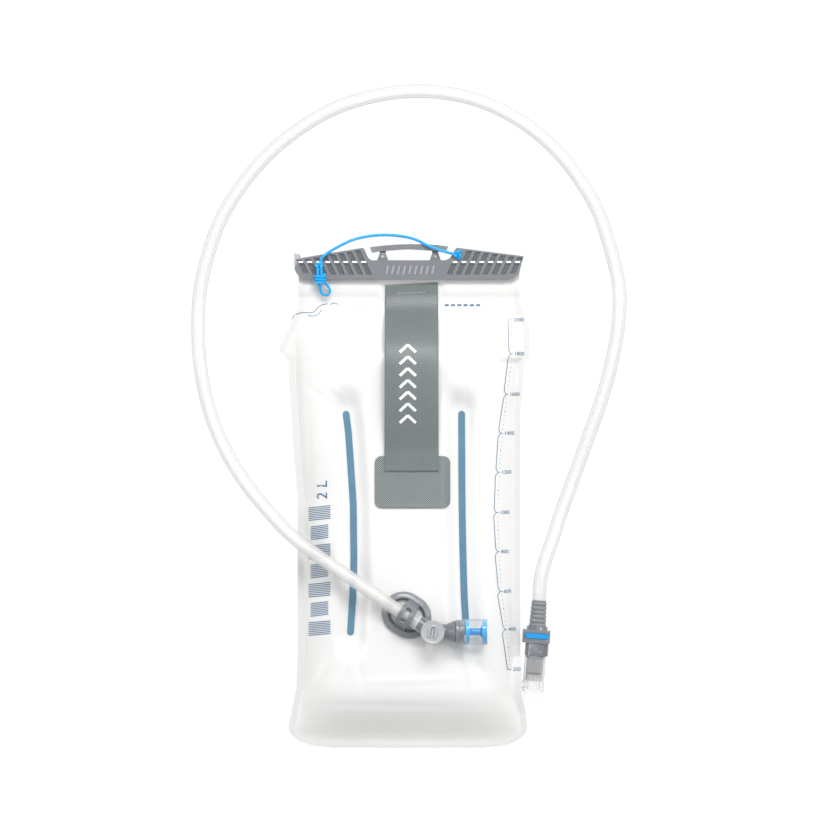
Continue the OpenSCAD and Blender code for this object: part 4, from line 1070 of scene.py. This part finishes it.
def flat_shape(name, outlines, depth=0.1):
    """Thin printed shape from closed outlines of (x, y) in mm."""
    work = bmesh.new()
    for outline in outlines:
        work.faces.new([work.verts.new((x * MM, y * MM, 0)) for x, y in outline])
    grown = bmesh.ops.extrude_face_region(work, geom=list(work.faces))
    for v in grown["geom"]:
        if isinstance(v, bmesh.types.BMVert):
            v.co.z += depth * MM
    bmesh.ops.recalc_face_normals(work, faces=work.faces)
    mesh = bpy.data.meshes.new(name)
    work.to_mesh(mesh)
    work.free()
    obj = bpy.data.objects.new(name, mesh)
    bpy.context.scene.collection.objects.link(obj)
    return obj


def ribbon(points, width):
    """Outlines of short bars that follow a line of (x, y) points."""
    bars = []
    for (ax, ay), (bx, by) in zip(points, points[1:]):
        n = max(1, round(math.hypot(bx - ax, by - ay) / 2))
        for k in range(n):
            p = (ax + (bx - ax) * k / n, ay + (by - ay) * k / n)
            q = (ax + (bx - ax) * (k + 1) / n, ay + (by - ay) * (k + 1) / n)
            long = math.hypot(q[0] - p[0], q[1] - p[1])
            nx, ny = -(q[1] - p[1]) / long * width / 2, (q[0] - p[0]) / long * width / 2
            bars.append([(p[0] + nx, p[1] + ny), (p[0] - nx, p[1] - ny),
                         (q[0] - nx, q[1] - ny), (q[0] + nx, q[1] + ny)])
    return bars


def dot(x, y, r):
    return [(x + r * math.cos(a), y + r * math.sin(a))
            for a in [math.radians(60 * k) for k in range(6)]]


SCALE = [(69.3, 123.6), (69.8, 99.8), (66.6, 71.5), (62.7, 44.2), (60.8, 17), (59.6, -11.2),
         (60.6, -38.6), (62.4, -66.3), (65.7, -93), (69, -121)]


def scale_outlines():
    """Graduation line with a small kink and tick at each mark, and dots between."""
    line, shapes = [], []
    for i, (x, y) in enumerate(SCALE):
        if i in (0, len(SCALE) - 1):
            line.append((x, y))
            shapes += ribbon([(x, y), (x + 2.6, y)], 0.45)
        else:
            line += [(x, y + 2.6), (x + 1.4, y), (x - 0.4, y - 2.6)]
            shapes += ribbon([(x + 1.4, y), (x + 3, y)], 0.45)
    shapes += ribbon(line, 0.45)
    for (ax, ay), (bx, by) in zip(SCALE, SCALE[1:]):
        for k in range(1, 9):
            x, y = ax + (bx - ax) * k / 9 + 2.3, ay + (by - ay) * k / 9
            shapes.append(dot(x, y, 0.3 if k != 4 else 0.42))
    return shapes


def fill_line_outlines():
    """Dotted full mark on both sides of the strap, with a plain bar between its dots."""
    shapes = [dot(-52 + 1.55 * k, 132.7 + 0.02 * k, 0.26) for k in range(22)]
    shapes += [dot(57 + 1.5 * k, 133 - 0.028 * k * k, 0.26) for k in range(14)]
    for k in range(6):
        shapes += ribbon([(25 + 4.4 * k, 133.9), (27.9 + 4.4 * k, 133.9)], 1.5)
    return shapes


def shoulder_outlines():
    """Wavy double line over the left shoulder."""
    wave = [(-82, 124), (-80.5, 127), (-77, 128.2), (-74, 129), (-70, 128.6), (-67, 128.9),
            (-65, 131), (-63, 133), (-60.5, 134.4), (-57, 134.9)]
    low = [(-71, 126.6), (-67, 126.2), (-64, 127.2), (-62, 129.4), (-61.3, 130.8)]
    return (ribbon(wave, 0.45) + ribbon(low, 0.45)
            + ribbon([(-55, 134.2), (-53, 135.6), (-50, 134.8), (-49.6, 133.8)], 0.45))


def hatched_block(cx, cy, w, h, lines):
    """Generic block of slanted hatch lines."""
    shapes = []
    for k in range(lines):
        y = cy - h / 2 + h * (k + 0.5) / lines
        shapes += ribbon([(cx - w / 2, y - 0.9), (cx + w / 2, y + 0.9)], 0.62)
    return shapes


def print_piece(name, outlines, gap=0.1):
    obj = flat_shape(name, outlines)
    lay_on_film(obj, gap)
    settle(obj)
    return placed(obj, name, INK, "reservoir", "film")


print_piece("print_scale", scale_outlines())
print_piece("print_fill_line", fill_line_outlines())
print_piece("print_shoulder", shoulder_outlines())
motif = []
for k in range(7):
    motif += hatched_block(-62.6, -11.5 - 13.4 * k, 12.5 if k % 2 else 15.5, 10.0, 8)
print_piece("print_hatch", motif)


def number(text, size, x, y, turn=0.0):
    """A printed number as a mesh, its left end at a place in mm."""
    deselect()
    bpy.ops.object.text_add(location=(x * MM, y * MM, 0), rotation=(0, 0, turn))
    obj = bpy.context.object
    obj.data.body = text
    obj.data.size = size * MM
    obj.data.align_y = "CENTER"
    obj.data.resolution_u = 3
    obj.data.offset = 0.00002
    obj.data.extrude = 0.00005
    bpy.ops.object.convert(target="MESH")
    bpy.ops.object.transform_apply(location=True, rotation=True, scale=True)
    return bpy.context.object


numbers = [number(str(2000 - 200 * i), 3.6, x + 3.8, y) for i, (x, y) in enumerate(SCALE)]
numbers.append(number("2 L", 10.5, -60.4, -2.0, math.pi / 2))
only(numbers[0])
for obj in numbers:
    obj.select_set(True)
bpy.ops.object.join()
lay_on_film(numbers[0], 0.15)
placed(numbers[0], "print_numbers", INK, "reservoir", "film")


def lay_on_strap(obj, gap):
    for v in obj.data.vertices:
        hit = webbing_top.ray_cast(Vector((v.co.x, v.co.y, 0.1)), Vector((0, 0, -1)))
        v.co.z += (hit[0].z if hit[0] else 0.05) + gap * MM


# plain chevrons along the strap
chevrons = []
for k in range(7):
    low = 51.5 + 8.2 * k
    chevrons += ribbon([(STRAP_X - 8.2, low), (STRAP_X - 2.6, low + 5.2)], 2.0)
    chevrons += ribbon([(STRAP_X - 2.6, low + 5.2), (STRAP_X + 3.0, low)], 2.0)
strap_print = flat_shape("strap_chevrons", chevrons, 0.08)
lay_on_strap(strap_print, 0.12)
placed(strap_print, "strap_chevrons", INK_WHITE, "reservoir", "webbing")
stitches = []
for k in range(9):
    stitches += ribbon([(STRAP_X - 9.5 + 2.2 * k, 142.4 + 0.06 * k),
                        (STRAP_X - 8.1 + 2.2 * k, 142.45 + 0.06 * k)], 0.5)
seam = flat_shape("strap_stitches", stitches, 0.3)
lay_on_strap(seam, 0.0)
placed(seam, "strap_stitches", STITCH, "reservoir", "webbing")

# ---------------------------------------------------------------- stage and light

deselect()
bpy.ops.mesh.primitive_plane_add(size=6, location=(0, 0, -0.0006))
floor = bpy.context.object
floor.name = "floor"
floor_finish = Finish("light_table", (0.02, 0.02, 0.02), 0.9, Specular_IOR_Level=0.0,
                      Emission_Color=(1.0, 1.0, 1.0, 1.0), Emission_Strength=1.0)
coat(floor, floor_finish.mat)

world = bpy.data.worlds.new("studio")
bpy.context.scene.world = world
world.use_nodes = True
world.node_tree.nodes["Background"].inputs["Color"].default_value = (1.0, 1.0, 1.0, 1)
world.node_tree.nodes["Background"].inputs["Strength"].default_value = 0.575


def soft_light(name, place, size, power, aim=(0, 0.05, 0)):
    lamp = bpy.data.lights.new(name, "AREA")
    lamp.shape = "RECTANGLE"
    lamp.size, lamp.size_y = size
    lamp.energy = power
    obj = bpy.data.objects.new(name, lamp)
    bpy.context.scene.collection.objects.link(obj)
    obj.location = place
    obj.rotation_euler = (Vector(aim) - Vector(place)).to_track_quat("-Z", "Y").to_euler()


soft_light("top_softbox", (0.15, 1.25, 1.45), (1.3, 0.35), 22)
soft_light("overhead_softbox", (0.55, 0.8, 1.9), (0.8, 0.8), 5.5)
soft_light("left_softbox", (-1.5, 0.1, 0.9), (0.35, 1.4), 5)
soft_light("right_softbox", (1.4, 0.2, 1.2), (0.35, 1.4), 6)

scene = bpy.context.scene
scene.view_settings.view_transform = "Standard"
deselect()
